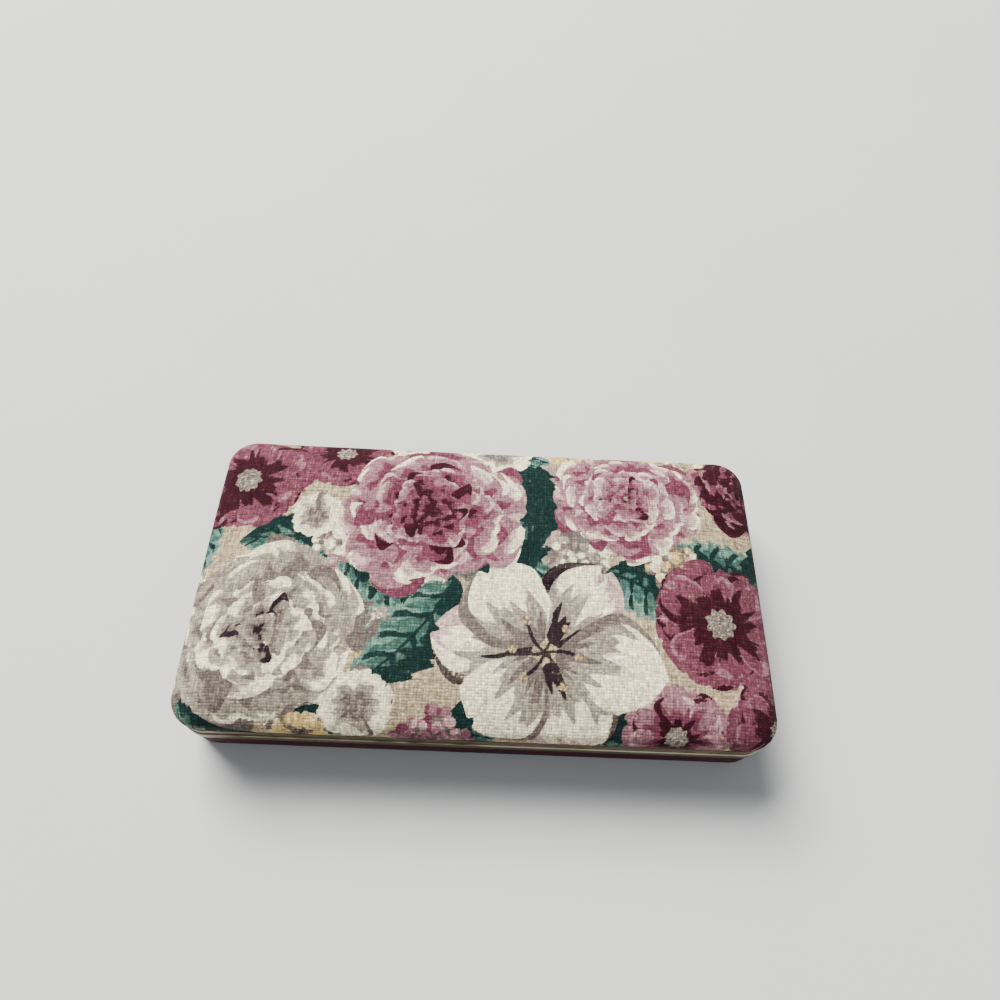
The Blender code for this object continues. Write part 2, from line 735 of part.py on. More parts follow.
def rivet_mesh():
    """A rivet along Y, its origin where the leaf's outer face is."""
    bm = bmesh.new()
    head_middle = CLEARANCE + RIVET_HEAD / 2
    add_rod(bm, RIVET_HEAD_RADIUS, RIVET_HEAD, (0, head_middle, 0), "X")
    head = make_object("rivet", bm)
    shank = bmesh.new()
    shank_end = CLEARANCE + RIVET_HEAD / 2
    shank_length = rivet_shank + RIVET_HEAD / 2
    shank_middle = shank_end - shank_length / 2
    add_rod(shank, RIVET_RADIUS, shank_length, (0, shank_middle, 0), "X")
    helper = make_object("rivet_shank", shank)
    combine(head, helper, "UNION")
    return applied_mesh(head, [helper])


rivet = rivet_mesh()
hinge_spacing = CASE_WIDTH - 2 * HINGE_END_DISTANCE
rim_holes = {"base": bmesh.new(), "lid": bmesh.new()}
leaf_faces = {"base": base_leaf_y + LEAF_THICKNESS, "lid": lid_leaf_y + LEAF_THICKNESS}
rivet_heights = {"base": base_rivet_z, "lid": lid_rivet_z}
for side, sign in (("left", -1), ("right", 1)):
    centre = (sign * hinge_spacing / 2, hinge_y, parting_height)
    place_mesh(f"hinge_base_leaf_{side}", base_leaf.copy(), "brass", case, centre)
    place_mesh(f"hinge_lid_leaf_{side}", lid_leaf.copy(), "brass", lid_axis, centre)
    pin = bmesh.new()
    add_rod(pin, PIN_RADIUS, barrel_length, (0, 0, 0), "Y")
    make_object(f"hinge_pin_{side}", pin, "nickel", case, centre)
    for end, offset in zip(("outer", "inner"), rivet_places[:: -sign]):
        for half, parent in (("base", case), ("lid", lid_axis)):
            place = (
                centre[0] + offset,
                hinge_y + leaf_faces[half],
                parting_height + rivet_heights[half],
            )
            name = f"{half}_rivet_{side}_{end}"
            place_mesh(name, rivet.copy(), "brass", parent, place)
            hole_length = 2 * (RIM_WALL + CUT_OVERRUN)
            hole_centre = (place[0], CASE_DEPTH / 2, place[2])
            add_rod(rim_holes[half], rivet_hole_radius, hole_length, hole_centre, "X")
for half, rim, parent in (("base", base_rim, case), ("lid", lid_rim, lid_axis)):
    holes = make_object(f"{half}_rim_holes", rim_holes[half], parent=parent)
    combine(rim, holes, "DIFFERENCE")
for unused_mesh in (base_leaf, lid_leaf, rivet):
    bpy.data.meshes.remove(unused_mesh)
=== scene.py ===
import json
import math

import bmesh
import bpy
import numpy as np
from mathutils import Matrix, Vector

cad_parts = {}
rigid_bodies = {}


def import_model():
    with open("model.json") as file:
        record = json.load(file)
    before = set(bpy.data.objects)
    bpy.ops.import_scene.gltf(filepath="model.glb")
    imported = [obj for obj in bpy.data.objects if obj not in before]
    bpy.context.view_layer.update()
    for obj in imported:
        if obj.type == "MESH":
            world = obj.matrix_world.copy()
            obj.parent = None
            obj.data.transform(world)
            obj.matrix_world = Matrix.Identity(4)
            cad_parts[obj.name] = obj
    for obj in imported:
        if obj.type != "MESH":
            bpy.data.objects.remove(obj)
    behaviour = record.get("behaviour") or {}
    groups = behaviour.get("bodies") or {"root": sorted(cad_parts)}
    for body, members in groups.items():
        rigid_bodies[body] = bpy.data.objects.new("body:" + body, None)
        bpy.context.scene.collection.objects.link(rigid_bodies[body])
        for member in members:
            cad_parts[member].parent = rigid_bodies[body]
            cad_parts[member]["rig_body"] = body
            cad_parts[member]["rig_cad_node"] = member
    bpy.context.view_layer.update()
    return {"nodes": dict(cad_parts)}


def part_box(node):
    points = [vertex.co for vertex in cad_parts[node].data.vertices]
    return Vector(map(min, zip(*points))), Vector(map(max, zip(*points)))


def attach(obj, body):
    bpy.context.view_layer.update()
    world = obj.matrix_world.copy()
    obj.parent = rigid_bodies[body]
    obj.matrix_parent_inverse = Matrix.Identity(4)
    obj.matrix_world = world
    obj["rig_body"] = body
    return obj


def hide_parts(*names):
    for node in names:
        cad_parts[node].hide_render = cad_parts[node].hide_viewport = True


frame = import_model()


# Base shell: a pan of pressed board with rounded foot and corners, covered outside in
# burgundy leatherette. It is stepped in at the top, where the brass rim slides over it.
LEATHERETTE = (0.046, 0.0044, 0.0085)
LEATHERETTE_WORN = (0.105, 0.019, 0.026)
# Painted shade for the grain's valleys.
LEATHERETTE_VALLEY_SHADE = (0.018, 0.002, 0.004)
GRAIN_CELL = 0.00075
GRAIN_DEPTH = 0.00006
FINE_GRAIN_DEPTH = 0.00002
SHELL_EDGE = 0.00018
WELD = 0.000002
FLAT_TURN = math.radians(1.5)
HARD_TURN = math.radians(35)
SMOOTH_TURN = math.radians(40)


def pick_up(piece):
    """Makes this piece the only one that the next tool works on."""
    bpy.ops.object.select_all(action="DESELECT")
    piece.select_set(True)
    bpy.context.view_layer.objects.active = piece


def open_up(piece, faces="DESELECT"):
    """Opens a piece for editing, with none of its faces selected, or all of them."""
    pick_up(piece)
    bpy.ops.object.mode_set(mode="EDIT")
    bpy.ops.mesh.select_mode(type="FACE")
    bpy.ops.mesh.select_all(action=faces)


def close_up():
    bpy.ops.object.mode_set(mode="OBJECT")


def named(piece, name):
    """Gives a piece and its mesh this name."""
    piece.name = name
    piece.data.name = name
    return piece


def welded_copy(node, name, edge, finish):
    """A copy of a solid, its triangles welded into faces, its edges eased, and dressed."""
    pick_up(frame["nodes"][node])
    bpy.ops.object.duplicate()
    piece = named(bpy.context.object, name)
    piece.parent = None
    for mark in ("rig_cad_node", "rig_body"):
        del piece[mark]
    open_up(piece, "SELECT")
    bpy.ops.mesh.customdata_custom_splitnormals_clear()
    bpy.ops.mesh.remove_doubles(threshold=WELD)
    bpy.ops.mesh.dissolve_limited(angle_limit=FLAT_TURN)
    close_up()
    ease(piece, edge)
    dress(piece, finish)
    return piece


def work(piece, kind, **settings):
    """Adds a modifier with these settings and applies it."""
    pick_up(piece)
    modifier = piece.modifiers.new(kind.title(), kind)
    for key, value in settings.items():
        setattr(modifier, key, value)
    bpy.ops.object.modifier_apply(modifier=modifier.name)


def ease(piece, edge, segments=2):
    """Rounds every hard edge, welds what that leaves behind, and shades the rest smooth."""
    where = {"limit_method": "ANGLE", "angle_limit": HARD_TURN, "use_clamp_overlap": True}
    work(piece, "BEVEL", width=edge, segments=segments, **where)
    open_up(piece, "SELECT")
    bpy.ops.mesh.remove_doubles(threshold=WELD)
    bpy.ops.mesh.dissolve_degenerate(threshold=WELD)
    close_up()
    bpy.ops.object.shade_smooth_by_angle(angle=SMOOTH_TURN)


class Finish:
    """One finish: a shader and the nodes that vary its colour, gloss and relief."""

    def __init__(self, name, **sockets):
        self.material = bpy.data.materials.new(name)
        self.material.use_nodes = True
        self.tree = self.material.node_tree
        self.show(**sockets)
        self.place = self.add("TexCoord").outputs["Object"]

    def show(self, **sockets):
        """Sets the shader's own sockets, or links them to what varies them."""
        self.set(self.tree.nodes["Principled BSDF"], sockets)

    def set(self, node, sockets):
        for name, value in sockets.items():
            socket = node.inputs[name.replace("_", " ") if isinstance(name, str) else name]
            if isinstance(value, bpy.types.NodeSocket):
                self.tree.links.new(value, socket)
            elif isinstance(value, tuple) and len(value) == 3 and socket.type == "RGBA":
                socket.default_value = (*value, 1)
            else:
                socket.default_value = value

    def add(self, kind, sockets=None, **settings):
        node = self.tree.nodes.new("ShaderNode" + kind)
        for key, value in settings.items():
            setattr(node, key, value)
        self.set(node, sockets or {})
        return node

    def stored(self, name, output):
        """The values stored at a mesh's points under this name."""
        return self.add("Attribute", attribute_name=name).outputs[output]

    def math(self, operation, *values, clamp=False):
        settings = {"operation": operation, "use_clamp": clamp}
        return self.add("Math", dict(enumerate(values)), **settings).outputs[0]

    def vector(self, operation, *values):
        sockets = dict(enumerate(values))
        return self.add("VectorMath", sockets, operation=operation).outputs[0]

    def noise(self, scale, detail=3.0, roughness=0.55, vector=None, distortion=0.0):
        """Noise with one scale, or with three that draw it out along an axis."""
        vector = vector or self.place
        if isinstance(scale, tuple):
            vector = self.add("Mapping", {"Vector": vector, "Scale": scale}).outputs[0]
            scale = 1
        sockets = {"Vector": vector, "Scale": scale, "Detail": detail}
        sockets.update(Roughness=roughness, Distortion=distortion)
        return self.add("TexNoise", sockets).outputs["Fac"]

    def cells(self, size):
        sockets = {"Vector": self.place, "Scale": 1 / size}
        return self.add("TexVoronoi", sockets).outputs[0]

    def ranged(self, value, low, high, new_low=0.0, new_high=1.0):
        sockets = dict(enumerate((value, low, high, new_low, new_high)))
        return self.add("MapRange", sockets).outputs[0]

    def mixed(self, share, under, over):
        sockets = {0: share, 6: under, 7: over}
        return self.add("Mix", sockets, data_type="RGBA").outputs[2]

    def relief(self, height, depth, strength=1.0, under=None):
        sockets = {"Height": height, "Distance": depth, "Strength": strength}
        if under is not None:
            sockets["Normal"] = under
        return self.add("Bump", sockets).outputs[0]


def dress(piece, finish):
    piece.data.materials.clear()
    piece.data.materials.append(finish.material)


leatherette = Finish("burgundy_leatherette", Specular_IOR_Level=0.12)
grain = leatherette.cells(GRAIN_CELL)
fine_grain = leatherette.cells(GRAIN_CELL / 3)
mottle = leatherette.noise(45, 4)
rub = leatherette.ranged(leatherette.noise(140, 5, 0.7), 0.58, 0.78)
tone = leatherette.mixed(rub, LEATHERETTE, LEATHERETTE_WORN)
# Painted shade: the colour darkens towards the grain's valleys, where shade falls between its
# raised cells.
valley_shade = leatherette.ranged(grain, 0.30, 0.75, 0.0, 0.55)
coarse = leatherette.relief(grain, GRAIN_DEPTH, 0.7)
leatherette.show(
    Base_Color=leatherette.mixed(valley_shade, tone, LEATHERETTE_VALLEY_SHADE),
    Roughness=leatherette.ranged(mottle, 0.3, 0.7, 0.52, 0.68),
    Normal=leatherette.relief(fine_grain, FINE_GRAIN_DEPTH, 0.5, coarse),
)

base_pan = welded_copy("base_shell", "base_pan", SHELL_EDGE, leatherette)
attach(base_pan, "base")
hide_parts("base_shell")


# Magnets and keepers: two bar magnets let into the base's front wall and two steel bars
# above them in the lid's. The rims cover them; they are nickelled, with a drawn surface.
NICKEL_DARK = (0.50, 0.49, 0.47)
NICKEL_LIGHT = (0.66, 0.65, 0.62)
DRAWN_DEPTH = 0.00001
nickel = Finish("nickel", Metallic=1.0)
drawn = nickel.noise((300, 9000, 9000), 4, 0.6)
nickel.show(
    Base_Color=nickel.mixed(drawn, NICKEL_DARK, NICKEL_LIGHT),
    Roughness=nickel.ranged(drawn, 0.3, 0.7, 0.22, 0.38),
    Normal=nickel.relief(drawn, DRAWN_DEPTH, 0.4),
)
for node in ("magnet_left", "magnet_right", "keeper_left", "keeper_right"):
    dress(frame["nodes"][node], nickel)


# Base rim: a brass strip of angle section, bent round the shell and pushed down over its
# step. The strip is drawn lengthwise, its edges are rolled, and it has dulled with age.
RIM_CORNER = 0.009
RIM_CORNER_STEPS = 14
RIM_SHEET = 0.0008
RIM_ROLL = 0.00045
RIM_ROLL_STEPS = 4
RIM_EDGE = 0.00012
# How far up the rolled edge the wear and the painted highlight reach, in roll widths.
RUB_AND_HIGHLIGHT_ROLLS = 1.6
BASE_LIP = 0.0041
NEAR = 1e-5
MIDDLE_REACH = 0.001
OUTER_REACH = 0.0005
BRASS = (0.170, 0.131, 0.064)
BRASS_DULL = (0.080, 0.062, 0.033)
BRASS_BRIGHT = (0.47, 0.39, 0.28)
BRASS_SPOT = (0.10, 0.07, 0.035)
TARNISH_DEPTH = 0.00002


def select_faces(piece, wanted):
    """Selects the faces whose middle and normal fit what is wanted."""
    mesh = bmesh.from_edit_mesh(piece.data)
    for face in mesh.faces:
        face.select_set(wanted(face.calc_center_median(), face.normal))
    mesh.select_flush_mode()
    bmesh.update_edit_mesh(piece.data)


def select_edges(piece, wanted, longer_than=0):
    """Selects the edges whose two ends both fit what is wanted, and that are long enough."""
    bpy.ops.mesh.select_mode(type="EDGE")
    bpy.ops.mesh.select_all(action="DESELECT")
    mesh = bmesh.from_edit_mesh(piece.data)
    for edge in mesh.edges:
        fits = all(wanted(vert.co) for vert in edge.verts)
        edge.select_set(fits and edge.calc_length() > longer_than)
    mesh.select_flush_mode()
    bmesh.update_edit_mesh(piece.data)


def inside_outline(place, low, high, corner, inset):
    """True for a point inside a box's round-cornered outline, drawn in by this inset."""
    half = (high - low) / 2
    away = place - low - half
    over_x = max(abs(away.x) - half.x + corner, 0)
    over_y = max(abs(away.y) - half.y + corner, 0)
    return math.hypot(over_x, over_y) < corner - inset


def settled(name, scale=(1, 1, 1)):
    """The piece just made, named, and with its place, turn and scale put into its mesh."""
    piece = named(bpy.context.object, name)
    piece.scale = scale
    bpy.ops.object.transform_apply(location=True, rotation=True, scale=True)
    return piece


def rounded_slab(name, low, high, start, far, corner, steps):
    """A slab with round corners, drawn from one height to another and left open."""
    middle = (low + high) / 2
    bpy.ops.mesh.primitive_plane_add(size=1, location=(middle.x, middle.y, start))
    slab = settled(name, (high.x - low.x, high.y - low.y, 1))
    open_up(slab, "SELECT")
    bpy.ops.mesh.bevel(offset=corner, segments=steps, affect="VERTICES", profile=0.5)
    bpy.ops.mesh.select_all(action="SELECT")
    bpy.ops.mesh.extrude_region_move(TRANSFORM_OT_translate={"value": (0, 0, far - start)})
    bpy.ops.mesh.select_all(action="SELECT")
    bpy.ops.mesh.normals_make_consistent(inside=False)
    return slab


def angle_strip(name, node, downwards, corner, steps, insets, roll, roll_steps, sheet, edge):
    """A strip bent round a node's outline, with a wall and a lip on its far side."""
    low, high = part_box(node)
    middle = (low + high) / 2
    start, far = (high.z, low.z) if downwards else (low.z, high.z)
    strip = rounded_slab(name, low, high, start, far, corner, steps)
    select_faces(strip, lambda place, normal: abs(place.z - far) < NEAR)
    for width, depth in insets:
        bpy.ops.mesh.inset(thickness=width, depth=depth)
    select_faces(
        strip,
        lambda place, normal: abs(normal.z) > 0.9
        and (abs(place.z - start) < NEAR or (place - middle).xy.length < MIDDLE_REACH),
    )
    bpy.ops.mesh.delete(type="FACE")
    select_edges(
        strip,
        lambda place: abs(place.z - far) < NEAR
        and not inside_outline(place, low, high, corner, OUTER_REACH),
    )
    bpy.ops.mesh.bevel(offset=roll, segments=roll_steps, affect="EDGES")
    close_up()
    work(strip, "SOLIDIFY", thickness=sheet, offset=-1, use_even_offset=True)
    ease(strip, edge)
    return strip


def brass_strip(name, node, downwards, corner, lip):
    """A brass rim, with its rolled outer edge marked for wear and for a painted highlight."""
    bend = (corner, RIM_CORNER_STEPS, [(lip, 0)], RIM_ROLL, RIM_ROLL_STEPS, RIM_SHEET, RIM_EDGE)
    strip = angle_strip(name, node, downwards, *bend)
    low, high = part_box(node)
    far = low.z if downwards else high.z
    # The rolled outer edge is marked to be painted brighter: partly polish from wear, partly a
    # painted highlight where it catches the light.
    rub_and_highlight = strip.data.attributes.new("rub_and_highlight", "FLOAT", "POINT")
    for vert in strip.data.vertices:
        near = 1 - abs(vert.co.z - far) / (RUB_AND_HIGHLIGHT_ROLLS * RIM_ROLL)
        inside = inside_outline(vert.co, low, high, corner, RIM_ROLL)
        rub_and_highlight.data[vert.index].value = 0 if inside else max(0, near)
    return strip


brass = Finish("brass", Metallic=1.0)
lengthwise = brass.noise((28, 28, 5200), 5, 0.65)
tarnish = brass.noise(150, 6, 0.62, distortion=0.4)
specks = brass.ranged(brass.noise(1400, 3, 0.6), 0.66, 0.76)
dulled = brass.mixed(brass.ranged(tarnish, 0.38, 0.68), BRASS, BRASS_DULL)
wiped = brass.mixed(brass.ranged(lengthwise, 0.52, 0.80, 0, 0.22), dulled, BRASS_BRIGHT)
spotted = brass.mixed(brass.math("MULTIPLY", specks, 0.7), wiped, BRASS_SPOT)
patchy = brass.ranged(brass.noise(26, 4, 0.6), 0.40, 0.58, 0.35, 1.5)
# Painted highlight: the marked rolled edge is painted brighter in patches, partly as polish from
# wear and partly as the light it catches.
rub_and_highlight = brass.math("MULTIPLY", brass.stored("rub_and_highlight", "Fac"), patchy)
haze = brass.math("MULTIPLY_ADD", tarnish, 0.30, 0.16)
uneven_face = brass.relief(tarnish, TARNISH_DEPTH, 0.3)
brass.show(
    Base_Color=brass.mixed(brass.ranged(rub_and_highlight, 0.30, 0.95), spotted, BRASS_BRIGHT),
    Roughness=brass.math("MULTIPLY_ADD", lengthwise, 0.12, haze),
    Normal=brass.relief(lengthwise, DRAWN_DEPTH, 0.5, uneven_face),
)

base_band = brass_strip("base_brass_rim", "base_rim", False, RIM_CORNER, BASE_LIP)
dress(base_band, brass)
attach(base_band, "base")
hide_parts("base_rim")


# Base lining: a thin moulded insert flocked in champagne velvet, glued into the pan. Its
# pile stands up a little along the top edge and catches the light in patches.
VELVET = (0.52, 0.40, 0.29)
VELVET_SHADE = (0.29, 0.20, 0.135)
SHEEN_TINT = (1.0, 0.93, 0.84)
PILE_CLUMP = 0.00055
PILE_DEPTH = 0.00008
CLUMP_DEPTH = 0.00006
BASE_TRAY_EDGE = 0.00035


def velvet_finish(name, colour, shade):
    """Short pile: patches that lean two ways, painted lighter and darker as their pile catches the
    light, painted shade between the tufts, and a fine relief of tufts.
    """
    velvet = Finish(name, Roughness=0.92, Specular_IOR_Level=0.15)
    velvet.show(Sheen_Weight=0.75, Sheen_Roughness=0.38, Sheen_Tint=SHEEN_TINT)
    lean = velvet.noise(55, 4, 0.6, distortion=0.8)
    tufts = velvet.cells(PILE_CLUMP)
    pile = velvet.noise(5200, 2, 0.6)
    # Painted light and shade: the patches are lighter and darker as their pile catches the light,
    # and the tufts' edges are painted darker, as shade between them.
    patch = velvet.mixed(velvet.ranged(lean, 0.35, 0.68), shade, colour)
    tuft_shaded = velvet.mixed(velvet.ranged(tufts, 0.2, 0.8, 0, 0.45), patch, shade)
    nap = velvet.ranged(velvet.noise(1500, 3, 0.65), 0.3, 0.7, 0.74, 1.22)
    velvet.show(
        Base_Color=velvet.vector("MULTIPLY", tuft_shaded, nap),
        Normal=velvet.relief(tufts, CLUMP_DEPTH, 0.5, velvet.relief(pile, PILE_DEPTH, 0.8)),
    )
    return velvet


velvet = velvet_finish("velvet", VELVET, VELVET_SHADE)
base_tray = welded_copy("base_lining", "base_velvet_tray", BASE_TRAY_EDGE, velvet)
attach(base_tray, "base")
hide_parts("base_lining")


# Dividers: three cards covered in the same velvet and glued to the tray's floor. The
# cloth is folded over the top edge, so that edge is the roundest.
CARD_TOP_ROUND = 0.00086
CARD_EDGE = 0.00028
for node in ("ring_bay_divider", "long_divider", "short_divider"):
    low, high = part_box(node)
    bpy.ops.mesh.primitive_cube_add(size=1, location=(low + high) / 2)
    card = settled(f"velvet_{node}", high - low)
    open_up(card)
    half_length = max(high.x - low.x, high.y - low.y) / 2
    select_edges(card, lambda place: place.z > high.z - NEAR, half_length)
    bpy.ops.mesh.bevel(offset=CARD_TOP_ROUND, segments=6, affect="EDGES")
    close_up()
    ease(card, CARD_EDGE, 3)
    dress(card, velvet)
    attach(card, "base")
    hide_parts(node)


# Ring rolls: six soft bolsters of foam wrapped in velvet, laid side by side in the ring
# bay and glued down. One is shaped and plumped by simulation, and the rest are copies.
ROLL_COUNT = 6
ROLL_SIDES = 28
ROLL_RUNS = 30
ROLL_END_ROUND = 0.0026
ROLL_CAP_SHARES = (0.11, 0.08)
ROLL_FLAT_SHARE = 0.10
ROLL_SHRINK = 0.965
ROLL_PRESSURE = 3.0
ROLL_FRAMES = 20
ROLL_STIFFNESS = 15.0
ROLL_BENDING = 0.5
ROLL_MOST_MOVE = 0.0005
ROLL_TOP_SLACK = 0.0002
ROLL_VELVET = (0.55, 0.43, 0.32)
ROLL_VELVET_SHADE = (0.33, 0.24, 0.165)
CROSSWISE = (math.pi / 2, 0, 0)
TINY = 1e-9


def numbers(mesh):
    """The places of a mesh's points as an array."""
    places = np.empty(len(mesh.vertices) * 3, np.float64)
    mesh.vertices.foreach_get("co", places)
    return places.reshape(-1, 3)


def put_points(mesh, places):
    mesh.vertices.foreach_set("co", places.astype(np.float32).ravel())
    mesh.update()


def rod(name, sides, width, length, middle, turn):
    """A cylinder, turned to lie along the case or across it."""
    bpy.ops.mesh.primitive_cylinder_add(
        vertices=sides, radius=width / 2, depth=length, location=middle, rotation=turn
    )
    return settled(name)


def copy_of(piece, name, places):
    """A copy of a piece under its own name, with its points at these places."""
    pick_up(piece)
    bpy.ops.object.duplicate()
    copy = named(bpy.context.object, name)
    put_points(copy.data, places)
    return copy


def plumped(piece, held, pressure, frames, stiffness, bending):
    """Where a piece's points go when air swells its cloth, while the held ones stay."""
    group = piece.vertex_groups.new(name="held")
    group.add([int(index) for index in np.nonzero(held)[0]], 1.0, "REPLACE")
    pick_up(piece)
    cloth = piece.modifiers.new("Cloth", "CLOTH")
    settings = cloth.settings
    settings.quality = 5
    settings.mass = 0.15
    settings.tension_stiffness = stiffness
    settings.compression_stiffness = stiffness
    settings.shear_stiffness = 5.0
    settings.bending_stiffness = bending
    settings.vertex_group_mass = "held"
    settings.use_pressure = True
    settings.uniform_pressure_force = pressure
    settings.effector_weights.gravity = 0
    cloth.collision_settings.use_collision = False
    cloth.point_cache.frame_start = 1
    cloth.point_cache.frame_end = frames
    for step in range(1, frames + 1):
        bpy.context.scene.frame_set(step)
    swollen = piece.evaluated_get(bpy.context.evaluated_depsgraph_get())
    places = numbers(swollen.data)
    piece.modifiers.remove(cloth)
    piece.vertex_groups.clear()
    bpy.context.scene.frame_set(1)
    return places


roll_low, roll_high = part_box("ring_roll_1")
roll_width = roll_high.x - roll_low.x
roll_length = roll_high.y - roll_low.y
roll_height = roll_high.z - roll_low.z
roll_rise = (roll_height + roll_height * ROLL_FLAT_SHARE) / 2
roll_middle = (roll_low + roll_high) / 2
roll_middle.z = roll_high.z - roll_rise
roll = rod("velvet_roll_1", ROLL_SIDES, roll_width, roll_length, roll_middle, CROSSWISE)
open_up(roll, "SELECT")
squash = (1, 1, roll_rise / (roll_width / 2))
bpy.ops.transform.resize(value=squash, center_override=roll_middle)
for end in (roll_low.y, roll_high.y):
    select_edges(roll, lambda place: abs(place.y - end) < NEAR)
    bpy.ops.mesh.bevel(offset=ROLL_END_ROUND, segments=5, affect="EDGES")
select_faces(roll, lambda middle, normal: abs(normal.y) > 0.999)
for share in ROLL_CAP_SHARES:
    bpy.ops.mesh.inset(thickness=roll_width * share)
select_edges(roll, lambda place: True, roll_length / 2)
bpy.ops.mesh.subdivide(number_cuts=ROLL_RUNS)
close_up()
rest = numbers(roll.data)
rest[:, 2] = np.maximum(rest[:, 2], roll_low.z)
on_floor = rest[:, 2] < roll_low.z + NEAR
put_points(roll.data, rest)
slack = rest.copy()
core = np.array(roll_middle)
slack[~on_floor] = core + (slack[~on_floor] - core) * (ROLL_SHRINK, 1, ROLL_SHRINK)
put_points(roll.data, slack)
air = (ROLL_PRESSURE, ROLL_FRAMES, ROLL_STIFFNESS, ROLL_BENDING)
move = plumped(roll, on_floor, *air) - rest
size = np.maximum(np.linalg.norm(move, axis=1), TINY)
move *= np.minimum(1, ROLL_MOST_MOVE / size)[:, None]
top = np.array(roll_high) + (0, 0, ROLL_TOP_SLACK)
put_points(roll.data, np.clip(rest + move, np.array(roll_low), top))
work(roll, "SUBSURF", levels=1, render_levels=1)
pick_up(roll)
bpy.ops.object.shade_smooth()
dress(roll, velvet_finish("roll_velvet", ROLL_VELVET, ROLL_VELVET_SHADE))
bolsters = [roll]
for number in range(1, ROLL_COUNT):
    places = numbers(roll.data)
    if number % 2:
        places[:, 1] = 2 * roll_middle.y - places[:, 1]
    places[:, 0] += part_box(f"ring_roll_{number + 1}")[0].x - roll_low.x
    bolsters.append(copy_of(roll, f"velvet_roll_{number + 1}", places))
    if number % 2:
        bolsters[-1].data.flip_normals()
for number, bolster in enumerate(bolsters):
    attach(bolster, "base")
    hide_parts(f"ring_roll_{number + 1}")


# Lid shell: a stiff pan of pressed board, mouth down, that carries the foam, the brass,
# the lining and the mirror. It is unpainted board and hardly shows.
BOARD_DARK = (0.045, 0.038, 0.032)
BOARD_LIGHT = (0.085, 0.073, 0.060)
BOARD_DEPTH = 0.00005
board = Finish("board", Specular_IOR_Level=0.3)
fibres = board.noise((240, 900, 900), 5, 0.7)
board.show(
    Base_Color=board.mixed(fibres, BOARD_DARK, BOARD_LIGHT),
    Roughness=board.ranged(fibres, 0.3, 0.7, 0.55, 0.85),
    Normal=board.relief(fibres, BOARD_DEPTH, 0.5),
)
dress(frame["nodes"]["lid_shell"], board)


# Lid rim: the upper brass strip, a little smaller than the base's, with its lip
# underneath. The cloth is tucked in behind its upper edge.
LID_LIP = 0.0049
LID_RIM_CORNER = 0.0086
lid_band = brass_strip("lid_brass_rim", "lid_rim", True, LID_RIM_CORNER, LID_LIP)
dress(lid_band, brass)
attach(lid_band, "lid")
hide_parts("lid_rim")


# Padded lid: foam with a low crown and drawn-in sides, covered in slubby cotton printed
# with flowers. The cloth is pulled tight and tucked in behind the lid's brass rim.
CROWN_POWER = 3.5
CROWN_STEPS = 600
WIDEST_HEIGHT = 0.0235
TUCK_STEPS = 60
TUCK_DROP = 0.0032
TUCK_INSET = 0.0019
LID_CORNER = 0.009
SOFT_CORNER_SHARE = 0.25
MOST_CORNER_SHARE = 0.7
LEAST_REACH = 1e-7
CAVITY_INSET = 0.0027
CAVITY_ROOF = 0.0278
CLOTH_CELLS = (352, 212)
SWELL_CELLS = (44, 26)
SWELL_PRESSURE = 4.0
SWELL_FRAMES = 20
SWELL_STIFFNESS = 25.0
SWELL_BENDING = 0.3
SWELL_MOST = 0.0009
SWELL_PAST_WIDEST = 0.0005
FADE_PAST_WIDEST = 0.002
FADE_LENGTH = 0.004
PUCKER = 0.00016
PUCKER_WAVES = (26, 41)
PUCKER_PAST_WIDEST = 0.0008
PUCKER_LENGTH = 0.0024
CLOTH_SMOOTH_TURN = math.radians(50)
THREAD = 0.0009
WANDER = (1.3, 1.3, 0)
WEAVE_DEPTH = 0.00017
GROUND = (0.53, 0.430, 0.275)
GROUND_SHADE = (0.34, 0.255, 0.150)
INK_COLOURS = {
    "chalk": (0.93, 0.83, 0.56),
    "straw": (0.61, 0.42, 0.165),
    "blush": (0.54, 0.360, 0.325),
    "pink": (0.270, 0.122, 0.146),
    "rose": (0.142, 0.034, 0.060),
    "wine": (0.030, 0.0030, 0.0080),
    "mint": (0.118, 0.228, 0.182),
    "sage": (0.034, 0.096, 0.077),
    "fir": (0.0042, 0.018, 0.0165),
    "stone": (0.285, 0.242, 0.186),
    "taupe": (0.138, 0.107, 0.092),
    "plum": (0.013, 0.0048, 0.0100),
}

cover_low, cover_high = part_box("lid_cover")
lid_centre = (cover_low + cover_high) / 2
lid_half_x = (cover_high.x - cover_low.x) / 2
lid_half_y = (cover_high.y - cover_low.y) / 2
spine = lid_half_x - lid_half_y
turns = np.linspace(math.pi / 2, 0, CROWN_STEPS)
crown_insets = lid_half_y * (1 - np.cos(turns) ** (2 / CROWN_POWER))
crown = (cover_high.z - WIDEST_HEIGHT) * np.sin(turns) ** (2 / CROWN_POWER)
tuck_turns = np.linspace(0, math.pi / 2, TUCK_STEPS)[1:]
tuck_insets = TUCK_INSET * (1 - np.cos(tuck_turns))
tuck = TUCK_DROP * np.sin(tuck_turns)
profile_inset = np.concatenate((crown_insets, tuck_insets, [TUCK_INSET]))
profile_height = np.concatenate((WIDEST_HEIGHT + crown, WIDEST_HEIGHT - tuck, [cover_low.z]))
steps = np.hypot(np.diff(profile_inset), np.diff(profile_height))
profile_reach = np.concatenate(([0], np.cumsum(steps)))
cloth_reach = profile_reach[-1]
widest_reach = profile_reach[len(turns) - 1]


